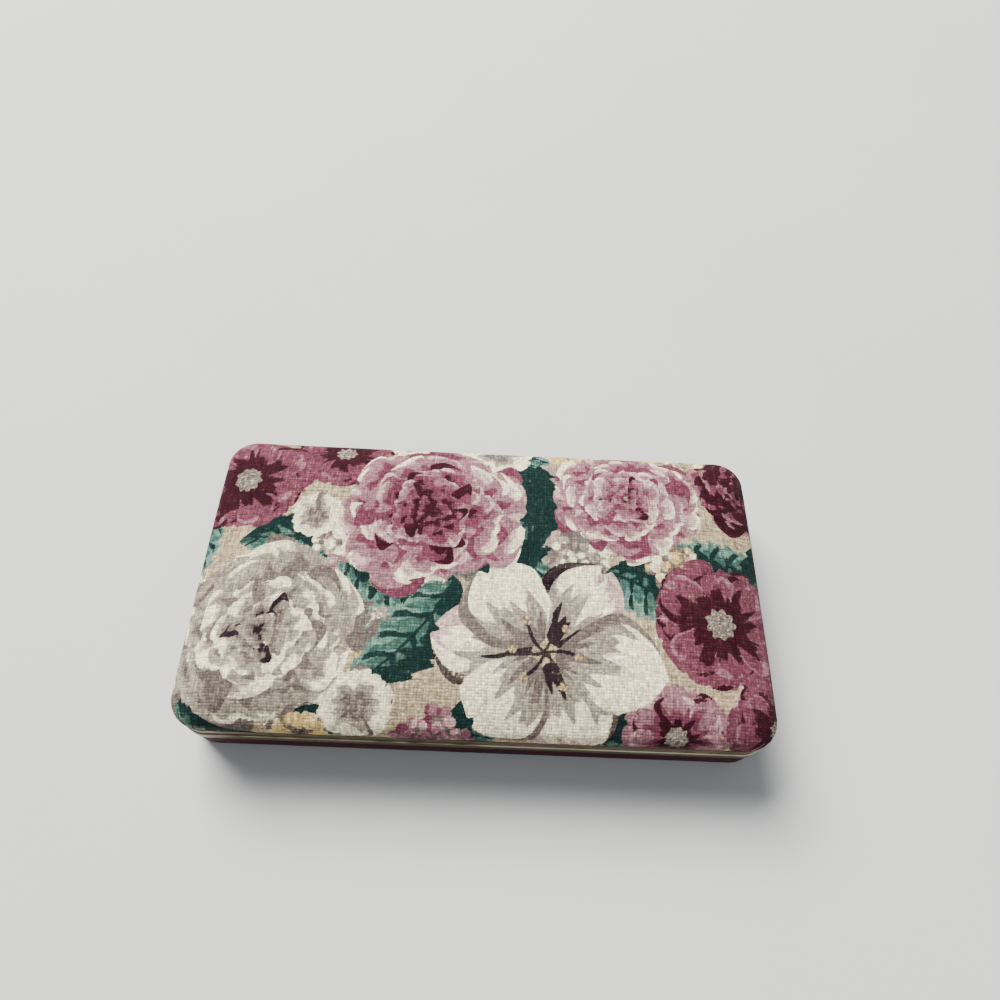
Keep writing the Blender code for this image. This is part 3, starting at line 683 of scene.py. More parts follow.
def ring_places(share, half, out, corner, flat_half, flat_out, flat_corner):
    """Where a share of one side lies, from its middle, round to half of the corner."""
    straight = half - corner
    length = np.maximum(straight, TINY) + corner * math.pi / 4
    run = np.abs(share) * length
    turn = np.clip((run - straight) / np.maximum(corner, TINY), 0, math.pi / 4)
    on_straight = np.minimum(run, straight)
    portion = on_straight / np.maximum(straight, TINY)
    along = on_straight + corner * np.sin(turn)
    flat_along = portion * (flat_half - flat_corner) + flat_corner * np.sin(turn)
    out = out - corner * (1 - np.cos(turn))
    flat_out = flat_out - flat_corner * (1 - np.cos(turn))
    return np.sign(share) * along, out, np.sign(share) * flat_along, flat_out, turn


def laid_cloth(across, along):
    """Where points of the cut cloth lie on the padded lid, and where they lie flat."""
    reach = np.maximum(np.maximum(np.abs(across) - spine, np.abs(along)), LEAST_REACH)
    long_reach = reach + spine
    inset = np.interp(reach, profile_reach, profile_inset)
    height = np.interp(reach, profile_reach, profile_height)
    half_x = lid_half_x - inset
    half_y = lid_half_y - inset
    soft = np.minimum(LID_CORNER + SOFT_CORNER_SHARE * inset, MOST_CORNER_SHARE * half_y)
    corner = np.where(reach > widest_reach, LID_CORNER - inset, soft)
    flat_corner = corner + reach - half_y
    long_flat = (long_reach, reach, flat_corner)
    short_flat = (reach, long_reach, flat_corner)
    long_side = ring_places(across / long_reach, half_x, half_y, corner, *long_flat)
    short_side = ring_places(along / reach, half_y, half_x, corner, *short_flat)
    at_end = np.abs(across) - spine > np.abs(along)
    x = np.where(at_end, np.sign(across) * short_side[1], long_side[0])
    y = np.where(at_end, short_side[0], np.sign(along) * long_side[1])
    flat_x = np.where(at_end, np.sign(across) * short_side[3], long_side[2])
    flat_y = np.where(at_end, short_side[2], np.sign(along) * long_side[3])
    places = np.stack((x + lid_centre.x, y + lid_centre.y, height), axis=1)
    corner_turn = np.where(at_end, short_side[4], long_side[4])
    return places, flat_x, flat_y, reach, corner_turn


def cloth_grid(name, cells):
    """A sheet of so many cells, and the places of its points on the cut cloth."""
    bpy.ops.mesh.primitive_grid_add(x_subdivisions=cells[0], y_subdivisions=cells[1], size=2)
    sheet = named(bpy.context.object, name)
    places = numbers(sheet.data)
    return sheet, places[:, 0] * (cloth_reach + spine), places[:, 1] * cloth_reach


def carried_over(coarse, dense):
    """Weights that carry values smoothly from a coarse row of points to a dense one."""
    place = np.linspace(0, coarse - 1, dense)
    start = np.clip(np.floor(place).astype(int), 0, coarse - 2)
    t = place - start
    curves = ((0, -1, 2, -1), (2, 0, -5, 3), (0, 1, 4, -3), (0, 0, -1, 1))
    weights = np.zeros((dense, coarse))
    for offset, (a, b, c, d) in enumerate(curves):
        column = np.clip(start + offset - 1, 0, coarse - 1)
        np.add.at(weights, (np.arange(dense), column), (a + b * t + c * t**2 + d * t**3) / 2)
    return weights


def row_order(across, along):
    """The order that sorts a sheet's points into rows."""
    return np.lexsort((np.round(across, 7), np.round(along, 7)))


padded_lid, across, along = cloth_grid("padded_lid", CLOTH_CELLS)
places, flat_x, flat_y, reach, corner_turn = laid_cloth(across, along)
trial, trial_across, trial_along = cloth_grid("trial_cloth", SWELL_CELLS)
trial_places, _, _, trial_reach, _ = laid_cloth(trial_across, trial_along)
put_points(trial.data, trial_places)
held = trial_reach > widest_reach + SWELL_PAST_WIDEST
air = (SWELL_PRESSURE, SWELL_FRAMES, SWELL_STIFFNESS, SWELL_BENDING)
move = plumped(trial, held, *air) - trial_places
size = np.maximum(np.linalg.norm(move, axis=1), TINY)
move *= (SWELL_MOST * np.tanh(size / SWELL_MOST) / size)[:, None]
columns, rows = (cells + 1 for cells in SWELL_CELLS)
grid = move[row_order(trial_across, trial_along)].reshape(rows, columns, 3)
over, down = map(carried_over, (columns, rows), (cells + 1 for cells in CLOTH_CELLS))
swell = np.empty_like(places)
swell[row_order(across, along)] = np.einsum("ri,ijk,cj->rck", down, grid, over).reshape(-1, 3)
fade = np.clip((widest_reach + FADE_PAST_WIDEST - reach) / FADE_LENGTH, 0, 1)
places = places + swell * (fade**2 * (3 - 2 * fade))[:, None]
bpy.data.objects.remove(trial)
in_corner = np.sin(2 * corner_turn) ** 2
near_tuck = np.exp(-(((reach - widest_reach - PUCKER_PAST_WIDEST) / PUCKER_LENGTH) ** 2))
broad, narrow = PUCKER_WAVES
pleats = np.sin(corner_turn * broad) + 0.5 * np.sin(corner_turn * narrow + 1)
outwards = places[:, :2] - np.array((lid_centre.x, lid_centre.y))
outwards /= np.maximum(np.linalg.norm(outwards, axis=1), TINY)[:, None]
places[:, :2] += outwards * (PUCKER * in_corner * near_tuck * (pleats - 1))[:, None]
put_points(padded_lid.data, places)


class Print:
    """The printed cloth as ink fields: each is above zero where that ink is laid, in mm."""

    INKS = list(INK_COLOURS)
    OVERLAP = 0.3
    BARE = -9.0

    def __init__(self, x, y):
        self.all_x = x
        self.all_y = y
        self.ink = {name: np.full(x.shape, self.BARE) for name in self.INKS}

    def look_at(self, cx, cy, far):
        """Works from here on with the points near one motif alone."""
        near = (np.abs(self.all_x - cx) < far) & (np.abs(self.all_y - cy) < far)
        self.near = np.nonzero(near)[0]
        self.x = self.all_x[self.near]
        self.y = self.all_y[self.near]

    def lay(self, shape, base, *layers):
        """A motif covers what lies under it: its base ink, then the others over that."""
        own = {base: shape + 0.5}
        for name, field in layers:
            for under in own:
                if self.INKS.index(under) > self.INKS.index(name):
                    own[under] = np.minimum(own[under], self.OVERLAP - field)
            own[name] = np.maximum(own[name], field) if name in own else field
        for name in self.INKS:
            value = np.minimum(self.ink[name][self.near], self.OVERLAP - shape)
            if name in own:
                value = np.maximum(value, np.minimum(shape, own[name]))
            self.ink[name][self.near] = value

    def round_middle(self, cx, cy, far, squeeze=1.0):
        """How far each point is from a flower's middle, and at what turn."""
        self.look_at(cx, cy, far)
        u = self.x - cx
        v = (self.y - cy) / squeeze
        return np.hypot(u, v) + 1e-6, np.arctan2(v, u)

    def along_line(self, foot, tip, bend, half):
        """How far each point is along a bent line, from 0 to 1, and how far beside it."""
        dx = tip[0] - foot[0]
        dy = tip[1] - foot[1]
        length = math.hypot(dx, dy)
        far = length / 2 + half * 1.3 + abs(bend) * length
        self.look_at((foot[0] + tip[0]) / 2, (foot[1] + tip[1]) / 2, far)
        u = ((self.x - foot[0]) * dx + (self.y - foot[1]) * dy) / length**2
        v = ((self.y - foot[1]) * dx - (self.x - foot[0]) * dy) / length
        return u, v - bend * length * 4 * u * (1 - u), length


def bristles(e, u, seed, fine):
    """Brush strokes that run up a petal and fan out with it."""
    a = np.sin(fine * e + 2.3 * seed + 1.6 * np.sin(3.1 * u + seed))
    b = np.sin(fine * 0.57 * e - 1.1 * seed + 2.1 * u)
    c = np.sin(fine * 1.83 * e + 0.9 * seed - 3.3 * u)
    return (a + 0.8 * b + 0.6 * c) / 2.4


BROAD_PETAL = (0.5, 5.0, 0.5)
OPEN_PETAL = (0.6, 4.0, 0.5)
POINTED_PETAL = (0.62, 2.2, 0.75)
GOLDEN_TURN = 2.399963
TINY_FLOWER = 4.4
TINY_FLOWERS = 11


def petal(cloth, foot, tip, half, seed, tones, form, shaded, fine):
    """One painted petal: a base tone, a light rim, a soft shade and dark strokes."""
    base, light, mid, dark = tones
    u, v, length = cloth.along_line(foot, tip, 0.05, half)
    c = np.clip(u, 0.001, 0.999)
    swell = c ** form[0] * (1 - c ** form[1]) ** form[2]
    peak = np.linspace(0.01, 0.99, 60)
    swell /= (peak ** form[0] * (1 - peak ** form[1]) ** form[2]).max()
    width = half * swell * (1 + 0.05 * np.sin(7 * c + seed) + 0.03 * np.sin(13 * c - seed))
    across = v / half
    notch = 1 - 0.05 * np.sin(9 * across + seed) - 0.04 * np.sin(17 * across + 2 * seed)
    shape = np.minimum(width - np.abs(v), np.minimum(u, notch - u) * length)
    e = v / np.maximum(width, 0.3 * half)
    brush = bristles(e, c, seed, fine)
    depth = shaded - c + 0.10 * (1 - e * e)
    soft = (depth + 0.20 + 0.20 * brush + 0.16 * e) * length * 0.40
    streak = (brush - 0.72) * 1.5 + (shaded + 0.35 - c) * 3.0
    deep = (depth - 0.05 + 0.20 * brush + 0.10 * e) * length * 0.60
    edge = (e - 0.80 + 0.10 * brush - 0.25 * np.maximum(c - 0.8, 0)) * half * 0.8
    rim = (c - 0.86 + 0.14 * brush - 0.20 * e) * length * 0.40
    turned_side = (-e - 0.72 + 0.12 * brush) * half * 0.5
    cloth.lay(
        shape,
        base,
        (light, np.maximum(rim, turned_side)),
        (mid, np.maximum(soft, np.minimum(streak, 1.0))),
        (dark, np.maximum(deep, edge)),
    )


def ring(cloth, flower, inner, outer, count, seed, tones, spread, form, fine):
    """A ring of petals round a flower, each laid over the last."""
    cx, cy, radius, squeeze, lean = flower
    a = math.radians(lean)
    root = inner * 0.35
    for number in range(count):
        turn = seed * 1.9 + 2 * math.pi * number / count
        turn += 0.12 * math.sin(number * 5.1 + seed)
        own = outer * (1 + 0.06 * math.sin(number * 3.3 + seed * 2))
        points = []
        for reach, swing in ((root, 0.0), (own, 0.10)):
            x = math.cos(turn + swing) * reach * radius
            y = math.sin(turn + swing) * reach * radius * squeeze
            points.append(
                (cx + x * math.cos(a) - y * math.sin(a), cy + x * math.sin(a) + y * math.cos(a))
            )
        half = own * radius * math.sin(math.pi / count) * spread
        shaded = (inner - root) / (own - root)
        petal(cloth, *points, half, seed + number * 1.7, tones, form, shaded, fine)


def rose(cloth, flower, seed, outer, inner, heart):
    """A full rose: rings of broad petals, pale outside and deep at the heart."""
    rings = (
        (0.72, 1.00, 6, outer), (0.55, 0.80, 5, outer), (0.38, 0.62, 5, inner),
        (0.24, 0.45, 4, inner), (0.12, 0.30, 3, heart), (0.03, 0.17, 3, heart),
    )
    for number, (low, high, count, tones) in enumerate(rings):
        ring(cloth, flower, low, high, count, seed + number, tones, 1.3, BROAD_PETAL, 11)


def heart_of(cloth, flower, share, seed, *tones):
    """A round, speckled heart in the middle of a flower."""
    cx, cy, radius = flower[:3]
    r, t = cloth.round_middle(cx, cy, radius * 0.5)
    shape = radius * share * (1 + 0.13 * np.sin(9 * t + seed)) - r
    specks = 1.2 * np.sin(r * 4.6 + 2.5 * np.sin(6 * t)) * np.sin(10 * t + 1.2 * r + seed)
    pale = [(tone, -0.5 - specks) for tone in tones[2:]]
    cloth.lay(shape, tones[0], (tones[1], specks - 0.1), *pale)


def daisy(cloth, flower, count, seed, tones):
    """An open flower of broad streaked petals in two rows round a speckled heart."""
    back = (tones[0], tones[0], tones[2], tones[3])
    ring(cloth, flower, 0.36, 0.97, count, seed, back, 1.25, OPEN_PETAL, 8)
    ring(cloth, flower, 0.30, 0.86, count - 1, seed + 3.2, tones, 1.0, OPEN_PETAL, 8)
    heart_of(cloth, flower, 0.19, seed, "stone", "taupe", "chalk")


def blossom(cloth, cx, cy, radius, tones, *heart):
    """A small flower of five broad petals with a speckled heart."""
    flower = (cx, cy, radius, 0.92, 0)
    ring(cloth, flower, 0.28, 0.95, 5, cx * 0.1, tones, 1.12, OPEN_PETAL, 7)
    heart_of(cloth, flower, 0.25, cx * 0.1, *heart)


def lily(cloth, flower, seed):
    """A large pale flower of pointed petals, hatched in taupe and edged in plum."""
    cx, cy, radius, squeeze, _ = flower
    edged = ("chalk", "blush", "stone", "plum")
    ring(cloth, flower, 0.30, 1.00, 3, seed, edged, 0.42, POINTED_PETAL, 15)
    ring(cloth, flower, 0.26, 0.96, 3, seed + 0.55, CREAMS, 0.46, POINTED_PETAL, 15)
    for number in range(6):
        turn = number * math.pi / 3 + seed + 0.5
        far = radius * (0.30 + 0.05 * math.sin(number * 2.0))
        end = (cx + math.cos(turn) * far, cy + math.sin(turn) * far * squeeze)
        u, v, length = cloth.along_line((cx, cy), end, 0.1, 2)
        stalk = np.minimum(0.42 - np.abs(v), np.minimum(u, 1 - u) * length)
        cloth.lay(stalk, "plum")
        r, t = cloth.round_middle(*end, 5)
        knob = 1.7 - r
        cloth.lay(knob, "straw", ("taupe", 0.5 * np.sin(3 * t) - 0.2))


def leaf(cloth, foot, tip, half, seed, side, tones):
    """A toothed leaf: one half in deep shade, the other lit, with veins and a rib."""
    base, light, dark = tones
    u, v, length = cloth.along_line(foot, tip, 0.07 * side, half)
    c = np.clip(u, 0.001, 0.999)
    saw = (c * 7 + 0.15 * seed) % 1.0
    width = half * np.sin(math.pi * c**0.8) ** 0.75 * (1 - 0.22 * saw)
    shape = np.minimum(width - np.abs(v), np.minimum(u, 1 - u) * length)
    e = v / np.maximum(width, 0.3 * half)
    brush = bristles(e * 0.5 + 2.4 * c, np.abs(e), seed, 14)
    veins = np.sin((c * 12 - np.abs(e) * 2) * math.pi + seed)
    deep = (side * e + 0.12 + 0.45 * np.sin(4.4 * c + seed) + 0.30 * brush) * half * 0.35
    lit = (-side * e - 0.35 + 0.5 * brush + 0.25 * veins) * half * 0.25
    line = np.minimum((veins - 0.70) * 1.6, (0.85 - np.abs(e)) * 3)
    rib = 0.45 * (1 - c) + 0.10 - np.abs(v)
    cloth.lay(
        shape,
        base,
        (light, lit),
        (dark, np.maximum(deep, np.maximum(line, rib))),
        (light, np.minimum(np.minimum(deep - 0.9, line - 0.15), 0.2)),
    )


def cluster(cloth, cx, cy, spread, seed, tones):
    """A head of tiny four-petalled flowers."""
    for number in range(TINY_FLOWERS):
        turn = number * GOLDEN_TURN + seed
        far = spread * math.sqrt((TINY_FLOWERS - 0.5 - number) / TINY_FLOWERS)
        x = cx + far * math.cos(turn)
        y = cy + far * math.sin(turn) * 0.8
        r, t = cloth.round_middle(x, y, 7)
        own = TINY_FLOWER * (1 + 0.20 * math.sin(number * 3.7))
        lobe = np.abs(np.cos(2 * t + number))
        shape = own * (0.55 + 0.45 * lobe**0.6) - r
        tone, shadow = tones[number % len(tones)]
        fold = (0.42 - lobe) * own * 0.8 + (0.5 * own - r) * 0.4
        side = np.sin(t + 2.2 * number) * own * 0.35 - 0.55 * own + 0.5 * r
        folds = (shadow, np.maximum(fold, side) - 0.1)
        cloth.lay(shape, tone, folds, ("taupe", own * 0.24 - r))


def wash(cloth, cx, cy, far, seed, name):
    """A soft, broken patch of one ink on the bare cloth."""
    r, t = cloth.round_middle(cx, cy, far * 1.8, 0.8)
    edge = far * (1 + 0.12 * np.sin(2 * t + seed) + 0.08 * np.sin(5 * t - seed))
    broken = 0.35 * np.sin(cloth.x * 0.9 + seed) * np.sin(cloth.y * 0.8 - seed)
    field = np.minimum((edge - r) * 0.10 + broken, 0.9)
    cloth.ink[name][cloth.near] = np.maximum(cloth.ink[name][cloth.near], field)


PINKS = ("blush", "chalk", "pink", "rose")
ROSES = ("pink", "blush", "rose", "wine")
WINES = ("rose", "pink", "wine", "wine")
DARKS = ("wine", "rose", "wine", "plum")
CREAMS = ("chalk", "chalk", "stone", "taupe")
STONES = ("stone", "chalk", "stone", "taupe")
GREYS = ("stone", "chalk", "taupe", "plum")
STRAWS = ("straw", "chalk", "straw", "taupe")
GREEN_LEAF = ("sage", "mint", "fir")
DULL_LEAF = (("stone", "chalk", "taupe"), ("mint", "chalk", "taupe"), ("chalk", "straw", "stone"))
WASHES = ("stone", "chalk", "straw", "blush")
WASH_COUNT = 34
WASH_REACH = 11
DULL_LEAF_COUNT = 22
DULL_LEAF_HALF = 6.5

cloth = Print(flat_x * 1000, flat_y * 1000)
for number in range(WASH_COUNT):
    x = -98 + (number * 37.7) % 196
    y = -60 + (number * 23.9) % 120
    wash(cloth, x, y, WASH_REACH, number, WASHES[number % len(WASHES)])
for number in range(DULL_LEAF_COUNT):
    turn = number * GOLDEN_TURN
    x = -95 + (number * 53.1) % 190
    y = -56 + (number * 31.3) % 112
    tip = (x + 22 * math.cos(turn), y + 18 * math.sin(turn))
    leaf(cloth, (x, y), tip, DULL_LEAF_HALF, number, 1, DULL_LEAF[number % len(DULL_LEAF)])
LEAVES = (
    (-46, 4, -18, -16, 11, 1), (-40, 6, -80, 8, 11, -1), (-8, -2, -40, -40, 12, 1),
    (40, 2, 66, -14, 11, 1), (14, 6, 8, 56, 12, -1), (58, 6, 98, 8, 12, -1),
    (40, -12, 44, -52, 11, 1), (-34, 40, -72, 60, 10, 1), (8, 44, 34, 60, 9, 1),
    (-92, 22, -101, -16, 11, -1), (-30, -42, -60, -58, 9, -1), (66, 40, 82, 62, 10, -1),
    (92, -16, 103, 24, 10, 1), (24, -50, 68, -60, 9, 1), (-90, -44, -66, -60, 9, 1),
    (-2, 0, 30, 4, 9, 1), (-2, -40, 2, -62, 9, -1),
)
for number, (x0, y0, x1, y1, width, side) in enumerate(LEAVES):
    leaf(cloth, (x0, y0), (x1, y1), width, number * 1.3, side, GREEN_LEAF)
HEADS = (
    (-44, 10, 10, (("blush", "pink"), ("chalk", "stone"))),
    (30, 4, 9, (("chalk", "stone"), ("stone", "taupe"))),
    (-12, -54, 10, (("pink", "rose"), ("blush", "pink"))),
    (72, 50, 9, (("straw", "stone"), ("chalk", "straw"))),
    (-100, -6, 10, (("chalk", "stone"), ("stone", "taupe"))),
    (62, 6, 8, (("straw", "taupe"), ("chalk", "straw"))),
)
for number, (x, y, spread, tones) in enumerate(HEADS):
    cluster(cloth, x, y, spread, number + 1.0, tones)
PALE_BLOSSOMS = (
    (-36, -44, 12), (4, 50, 12), (100, -24, 12), (-26, 56, 11), (-100, 46, 11), (-56, 18, 9),
)
for x, y, radius in PALE_BLOSSOMS:
    blossom(cloth, x, y, radius, CREAMS, "stone", "taupe")
for x, y, radius in ((-52, -54, 9), (28, 54, 10), (58, 58, 9), (-104, -50, 10)):
    blossom(cloth, x, y, radius, STRAWS, "taupe", "plum")
rose(cloth, (-68, -22, 31, 0.86, 25), 1.3, STONES, CREAMS, GREYS)
rose(cloth, (48, 30, 25, 0.88, -20), 2.9, PINKS, PINKS, ROSES)
rose(cloth, (95, 40, 22, 0.90, 40), 0.4, WINES, WINES, DARKS)
daisy(cloth, (-50, 46, 17, 0.92, 0), 8, 0.6, WINES)
daisy(cloth, (-82, 32, 23, 0.85, 20), 9, 2.2, WINES)
daisy(cloth, (60, -50, 17, 0.92, 0), 8, 1.4, ROSES)
daisy(cloth, (93, -46, 18, 0.92, 0), 8, 0.9, WINES)
daisy(cloth, (76, -14, 24, 0.88, -15), 9, 1.9, WINES)
lily(cloth, (20, -26, 38, 0.85, 0), 0.45)
rose(cloth, (-18, 22, 31, 0.88, 15), 0.8, PINKS, ROSES, WINES)


def carry(mesh, name, columns):
    """Stores three values at every point under this name."""
    store = mesh.attributes.new(name, "FLOAT_VECTOR", "POINT")
    store.data.foreach_set("vector", np.stack(columns, axis=1).astype(np.float32).ravel())


INK_TRIOS = [Print.INKS[first : first + 3] for first in range(0, len(Print.INKS), 3)]
carry(padded_lid.data, "flat_place", (flat_x, flat_y, np.zeros_like(flat_x)))
for names in INK_TRIOS:
    carry(padded_lid.data, "_".join(names), [cloth.ink[name] for name in names])

open_up(padded_lid)
bpy.ops.mesh.select_mode(type="EDGE")
bpy.ops.mesh.select_non_manifold(extend=False)
bpy.ops.mesh.extrude_edges_move()
inwards_x = (lid_half_x - CAVITY_INSET) / (lid_half_x - TUCK_INSET)
inwards_y = (lid_half_y - CAVITY_INSET) / (lid_half_y - TUCK_INSET)
bpy.ops.transform.resize(value=(inwards_x, inwards_y, 1), center_override=lid_centre)
upwards = (0, 0, CAVITY_ROOF - cover_low.z)
bpy.ops.mesh.extrude_edges_move(TRANSFORM_OT_translate={"value": upwards})
bpy.ops.mesh.edge_face_add()
close_up()
bpy.ops.object.shade_smooth_by_angle(angle=CLOTH_SMOOTH_TURN)

printed = Finish("printed_cotton", Roughness=0.88, Specular_IOR_Level=0.08)
printed.show(Sheen_Weight=0.02, Sheen_Roughness=0.5)
flat_place = printed.stored("flat_place", "Vector")

straight = printed.vector("DIVIDE", flat_place, (THREAD,) * 3)
wander = printed.add("TexNoise", {"Vector": flat_place, "Scale": 300, "Detail": 2})
threads = printed.vector("MULTIPLY_ADD", wander.outputs["Color"], WANDER, straight)
crossing = printed.vector("FLOOR", threads)
chance = printed.add("TexWhiteNoise", {"Vector": crossing}).outputs["Value"]
frayed = printed.math("MULTIPLY_ADD", chance, 0.40, -0.05)
bleed = printed.math("MULTIPLY_ADD", printed.noise(900, 3, 0.6, flat_place), 0.8, -0.4)
edge_shift = printed.math("ADD", frayed, bleed)
warp_slub = printed.noise((1500, 110, 1), 3, 0.6, flat_place)
weft_slub = printed.noise((110, 1500, 1), 3, 0.6, flat_place)
uneven = printed.math("MULTIPLY", warp_slub, weft_slub)
worn = printed.ranged(printed.noise(70, 4, 0.6, flat_place), 0.3, 0.7, 0.92, 1.0)
thin = printed.ranged(uneven, 0.32, 0.46, 1.0, 0.74)
cover = printed.math("MULTIPLY", worn, thin)
tint = printed.mixed(printed.ranged(uneven, 0.15, 0.40), GROUND_SHADE, GROUND)
for names in INK_TRIOS:
    fields = printed.add("SeparateXYZ", {0: printed.stored("_".join(names), "Vector")})
    for name, field in zip(names, fields.outputs):
        shifted = printed.math("ADD", field, edge_shift)
        laid = printed.math("MULTIPLY_ADD", shifted, 3.5, 0.5, clamp=True)
        tint = printed.mixed(printed.math("MULTIPLY", laid, cover), tint, INK_COLOURS[name])
split = printed.add("SeparateXYZ", {0: threads}).outputs
waves = [printed.math("SINE", printed.math("MULTIPLY", split[axis], math.pi)) for axis in (0, 1)]
warp_over = printed.math("MULTIPLY", *waves)
knots = printed.math("ABSOLUTE", warp_over)
warp_tone = printed.noise((1500, 300, 1), 3, 0.65, flat_place)
weft_tone = printed.noise((300, 1500, 1), 3, 0.65, flat_place)
on_top = printed.ranged(warp_over, -0.25, 0.25)
rise_of_warp = printed.math("SUBTRACT", warp_tone, weft_tone)
thread_tone = printed.math("MULTIPLY_ADD", on_top, rise_of_warp, weft_tone)
slub_light = printed.ranged(uneven, 0.14, 0.40, 0.66, 1.20)
yarn_light = printed.ranged(thread_tone, 0.30, 0.70, 0.48, 1.52)
thread_light = printed.math("MULTIPLY", yarn_light, printed.ranged(chance, 0, 1, 0.70, 1.30))
gap_light = printed.ranged(knots, 0.0, 0.45, 0.77, 1.06)
light = printed.math("MULTIPLY", slub_light, printed.math("MULTIPLY", thread_light, gap_light))
weave = printed.math("MULTIPLY_ADD", knots, 0.6, uneven)
printed.show(
    Base_Color=printed.vector("MULTIPLY", tint, light),
    Normal=printed.relief(weave, WEAVE_DEPTH, 0.9),
)
dress(padded_lid, printed)
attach(padded_lid, "lid")
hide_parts("lid_cover", "lid_pad")


# Lid lining: a thin moulded insert flocked in the same champagne velvet as the base's, and
# glued up inside the lid's shell. Its edges are a little sharper than the base's.
LID_TRAY_EDGE = 0.0003
lid_tray = welded_copy("lid_lining", "lid_velvet_lining", LID_TRAY_EDGE, velvet)
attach(lid_tray, "lid")
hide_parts("lid_lining")


# Mirror: a sheet of silvered glass on a grey card, held by a thin gilt frame of moulded
# plastic that is glued to the lid's lining. The frame's face has one shallow step.
CARD_DARK = (0.27, 0.21, 0.15)
CARD_LIGHT = (0.40, 0.32, 0.23)
PULP_DEPTH = 0.00004
GLASS_CORNER = 0.003
GLASS_CORNER_STEPS = 10
GLASS_EDGE = 0.00015
SILVER = (0.86, 0.885, 0.88)
SILVER_CLOUDY = (0.80, 0.82, 0.81)
PINHOLE = (0.30, 0.29, 0.27)
FRAME_CORNER = 0.0063
FRAME_CORNER_STEPS = 12
FRAME_FLAT = 0.00231
FRAME_SLOPE = 0.00044
FRAME_STEP = 0.00022
FRAME_ROUND = 0.0009
FRAME_ROUND_STEPS = 5
FRAME_SHEET = 0.0006
FRAME_EDGE = 0.0001
GILT_DARK = (0.62, 0.44, 0.20)
GILT_LIGHT = (0.78, 0.60, 0.33)
card_stock = Finish("grey_card", Roughness=0.9, Specular_IOR_Level=0.2)
pulp = card_stock.noise(700, 5, 0.7)
card_stock.show(
    Base_Color=card_stock.mixed(pulp, CARD_DARK, CARD_LIGHT),
    Normal=card_stock.relief(pulp, PULP_DEPTH, 0.5),
)
dress(frame["nodes"]["mirror_backing"], card_stock)

silvered = Finish("mirror", Metallic=1.0)
cloudy = silvered.ranged(silvered.noise(38, 5, 0.6), 0.55, 0.85)
pinholes = silvered.ranged(silvered.noise(900, 2, 0.5), 0.74, 0.80)
silvered.show(
    Base_Color=silvered.mixed(pinholes, silvered.mixed(cloudy, SILVER, SILVER_CLOUDY), PINHOLE),
    Roughness=silvered.math("MULTIPLY_ADD", cloudy, 0.05, 0.012),
)
low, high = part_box("mirror_glass")
sheet = (high.z, low.z, GLASS_CORNER, GLASS_CORNER_STEPS)
glass = rounded_slab("mirror_sheet", low, high, *sheet)
close_up()
ease(glass, GLASS_EDGE)
bpy.ops.object.shade_flat()
dress(glass, silvered)
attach(glass, "lid")
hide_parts("mirror_glass")

gilt = Finish("gilt_plastic", Metallic=0.9)
flow = gilt.noise(60, 4, 0.6, distortion=0.6)
gilt.show(
    Base_Color=gilt.mixed(flow, GILT_DARK, GILT_LIGHT),
    Roughness=gilt.ranged(flow, 0.3, 0.7, 0.22, 0.40),
    Normal=gilt.relief(gilt.noise(2600, 2, 0.5), DRAWN_DEPTH, 0.4),
)
face = [(FRAME_FLAT, 0), (FRAME_SLOPE, -FRAME_STEP), (FRAME_FLAT, 0), (FRAME_SLOPE, FRAME_STEP)]
bend = (FRAME_CORNER, FRAME_CORNER_STEPS, face, FRAME_ROUND, FRAME_ROUND_STEPS)
gilt_frame = angle_strip(
    "gilt_mirror_frame", "mirror_frame", True, *bend, FRAME_SHEET, FRAME_EDGE
)
dress(gilt_frame, gilt)
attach(gilt_frame, "lid")
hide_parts("mirror_frame")


# Hinges: a pair of brass leaves each side with rolled knuckles, riveted to the backs of
# the two rims. A fin on the lid's middle knuckle stops the lid a little past upright.
LEAF_EDGE = 0.00011
for side in ("left", "right"):
    for half, node in (("base", "hinge_base_leaf"), ("lid", "hinge_lid_leaf")):
        name = f"{half}_hinge_plate_{side}"
        leaf_plate = welded_copy(f"{node}_{side}", name, LEAF_EDGE, brass)
        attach(leaf_plate, half)
        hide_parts(f"{node}_{side}")


# Hinge pins: two lengths of nickelled wire, one through the knuckles of each hinge. Each
# is cut a touch long and burred over at both ends, so that it can't slip out.
PIN_SIDES = 28
PIN_SPARE = 0.0003
PIN_ROUND = 0.00028
LENGTHWISE = (0, math.pi / 2, 0)
for side in ("left", "right"):
    low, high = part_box(f"hinge_pin_{side}")
    span = (high.z - low.z, high.x - low.x + PIN_SPARE, (low + high) / 2)
    pin = rod(f"burred_pin_{side}", PIN_SIDES, *span, LENGTHWISE)
    ease(pin, PIN_ROUND, 5)
    dress(pin, nickel)
    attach(pin, "base")
    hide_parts(f"hinge_pin_{side}")


# Rivets: eight small brass rivets with low domed heads, which hold the leaves to the
# rims. One is turned and the rest are copies.
RIVET_SIDES = 32
RIVET_HEAD = 0.0006
RIVET_DOME = 0.00052
RIVET_SHANK_RADIUS = 0.0006
rivets = [
    f"{half}_rivet_{side}_{end}"
    for half in ("base", "lid")
    for side in ("left", "right")
    for end in ("outer", "inner")
]
low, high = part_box(rivets[0])
head_width = high.z - low.z
head_middle = (low + high) / 2
head_middle.y = high.y - RIVET_HEAD / 2
head = (head_width, RIVET_HEAD, head_middle)
first_rivet = rod(f"domed_{rivets[0]}", RIVET_SIDES, *head, CROSSWISE)
open_up(first_rivet)
select_faces(first_rivet, lambda middle, normal: normal.y < -0.9)
bpy.ops.mesh.inset(thickness=head_width / 2 - RIVET_SHANK_RADIUS)
shank = (0, low.y - high.y + RIVET_HEAD, 0)
bpy.ops.mesh.extrude_region_move(TRANSFORM_OT_translate={"value": shank})
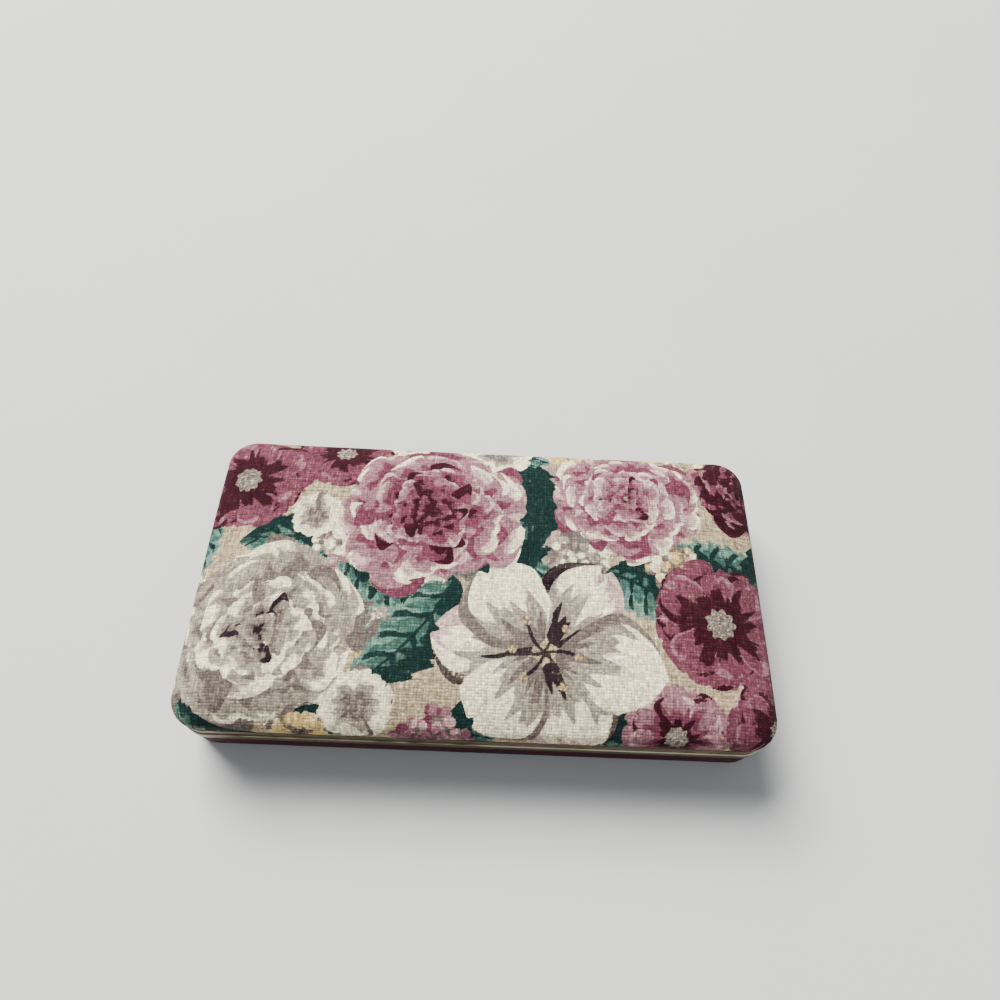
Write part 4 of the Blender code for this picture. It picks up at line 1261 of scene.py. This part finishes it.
select_edges(first_rivet, lambda place: abs(place.y - high.y) < NEAR)
bpy.ops.mesh.bevel(offset=RIVET_DOME, segments=6, affect="EDGES", profile=0.6)
close_up()
bpy.ops.object.shade_smooth_by_angle(angle=SMOOTH_TURN)
dress(first_rivet, brass)
turned = numbers(first_rivet.data)
domed = [first_rivet]
for node in rivets[1:]:
    domed.append(copy_of(first_rivet, f"domed_{node}", turned + np.array(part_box(node)[0] - low)))
for node, rivet in zip(rivets, domed):
    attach(rivet, node.split("_")[0])
    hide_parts(node)


# Studio: a plain pale floor, a large soft light from behind on the left, a weak fill from
# the front, and a camera that stands where the photographer's did.
FLOOR_WIDTH = 13
FLOOR_DARK = (0.62, 0.62, 0.61)
FLOOR_LIGHT = (0.66, 0.66, 0.65)
CAMERA_PLACE = Vector((0.0001, -0.1019, 0.2545))
FORWARD = Vector((0.0183, 0.4987, -0.8666)).normalized()
LEVEL_RIGHT = Vector((0.9993, -0.0366, 0))
ROLL = math.radians(4.42)
LENS = 26.92
SENSOR_WIDTH = 36
NEAREST = 0.01
KEY = {"place": (-1.375, 2.125, 2.75), "size": 2.25, "power": 465, "colour": (1.0, 0.985, 0.96)}
FILL = {"place": (0.8, -0.9, 0.9), "size": 1.4, "power": 3, "colour": (0.93, 0.96, 1.0)}
ROOM_LIGHT = {"Color": (0.86, 0.92, 1.0, 1), "Strength": 0.32}
bpy.ops.mesh.primitive_plane_add(size=FLOOR_WIDTH)
floor = named(bpy.context.object, "floor")
paper = Finish("floor_paper", Roughness=0.75, Specular_IOR_Level=0.3)
paper.show(Base_Color=paper.mixed(paper.noise(9, 3), FLOOR_DARK, FLOOR_LIGHT))
dress(floor, paper)

level_up = LEVEL_RIGHT.cross(FORWARD).normalized()
right = LEVEL_RIGHT * math.cos(ROLL) + level_up * math.sin(ROLL)
up = level_up * math.cos(ROLL) - LEVEL_RIGHT * math.sin(ROLL)
turn = Matrix((right, up, -FORWARD)).transposed().to_4x4()
camera = bpy.data.objects.new("camera", bpy.data.cameras.new("camera"))
camera.data.lens = LENS
camera.data.sensor_width = SENSOR_WIDTH
camera.data.clip_start = NEAREST
camera.matrix_world = Matrix.Translation(CAMERA_PLACE) @ turn
bpy.context.scene.collection.objects.link(camera)
bpy.context.scene.camera = camera


def soft_light(name, place, size, power, colour):
    """A square light that hangs at place and faces the box."""
    light = bpy.data.objects.new(name, bpy.data.lights.new(name, "AREA"))
    light.data.size = size
    light.data.energy = power
    light.data.color = colour
    light.location = place
    light.rotation_euler = (-Vector(place)).to_track_quat("-Z", "Y").to_euler()
    bpy.context.scene.collection.objects.link(light)


soft_light("key", **KEY)
soft_light("fill", **FILL)
world = bpy.data.worlds.new("studio")
world.use_nodes = True
for name, value in ROOM_LIGHT.items():
    world.node_tree.nodes["Background"].inputs[name].default_value = value
bpy.context.scene.world = world
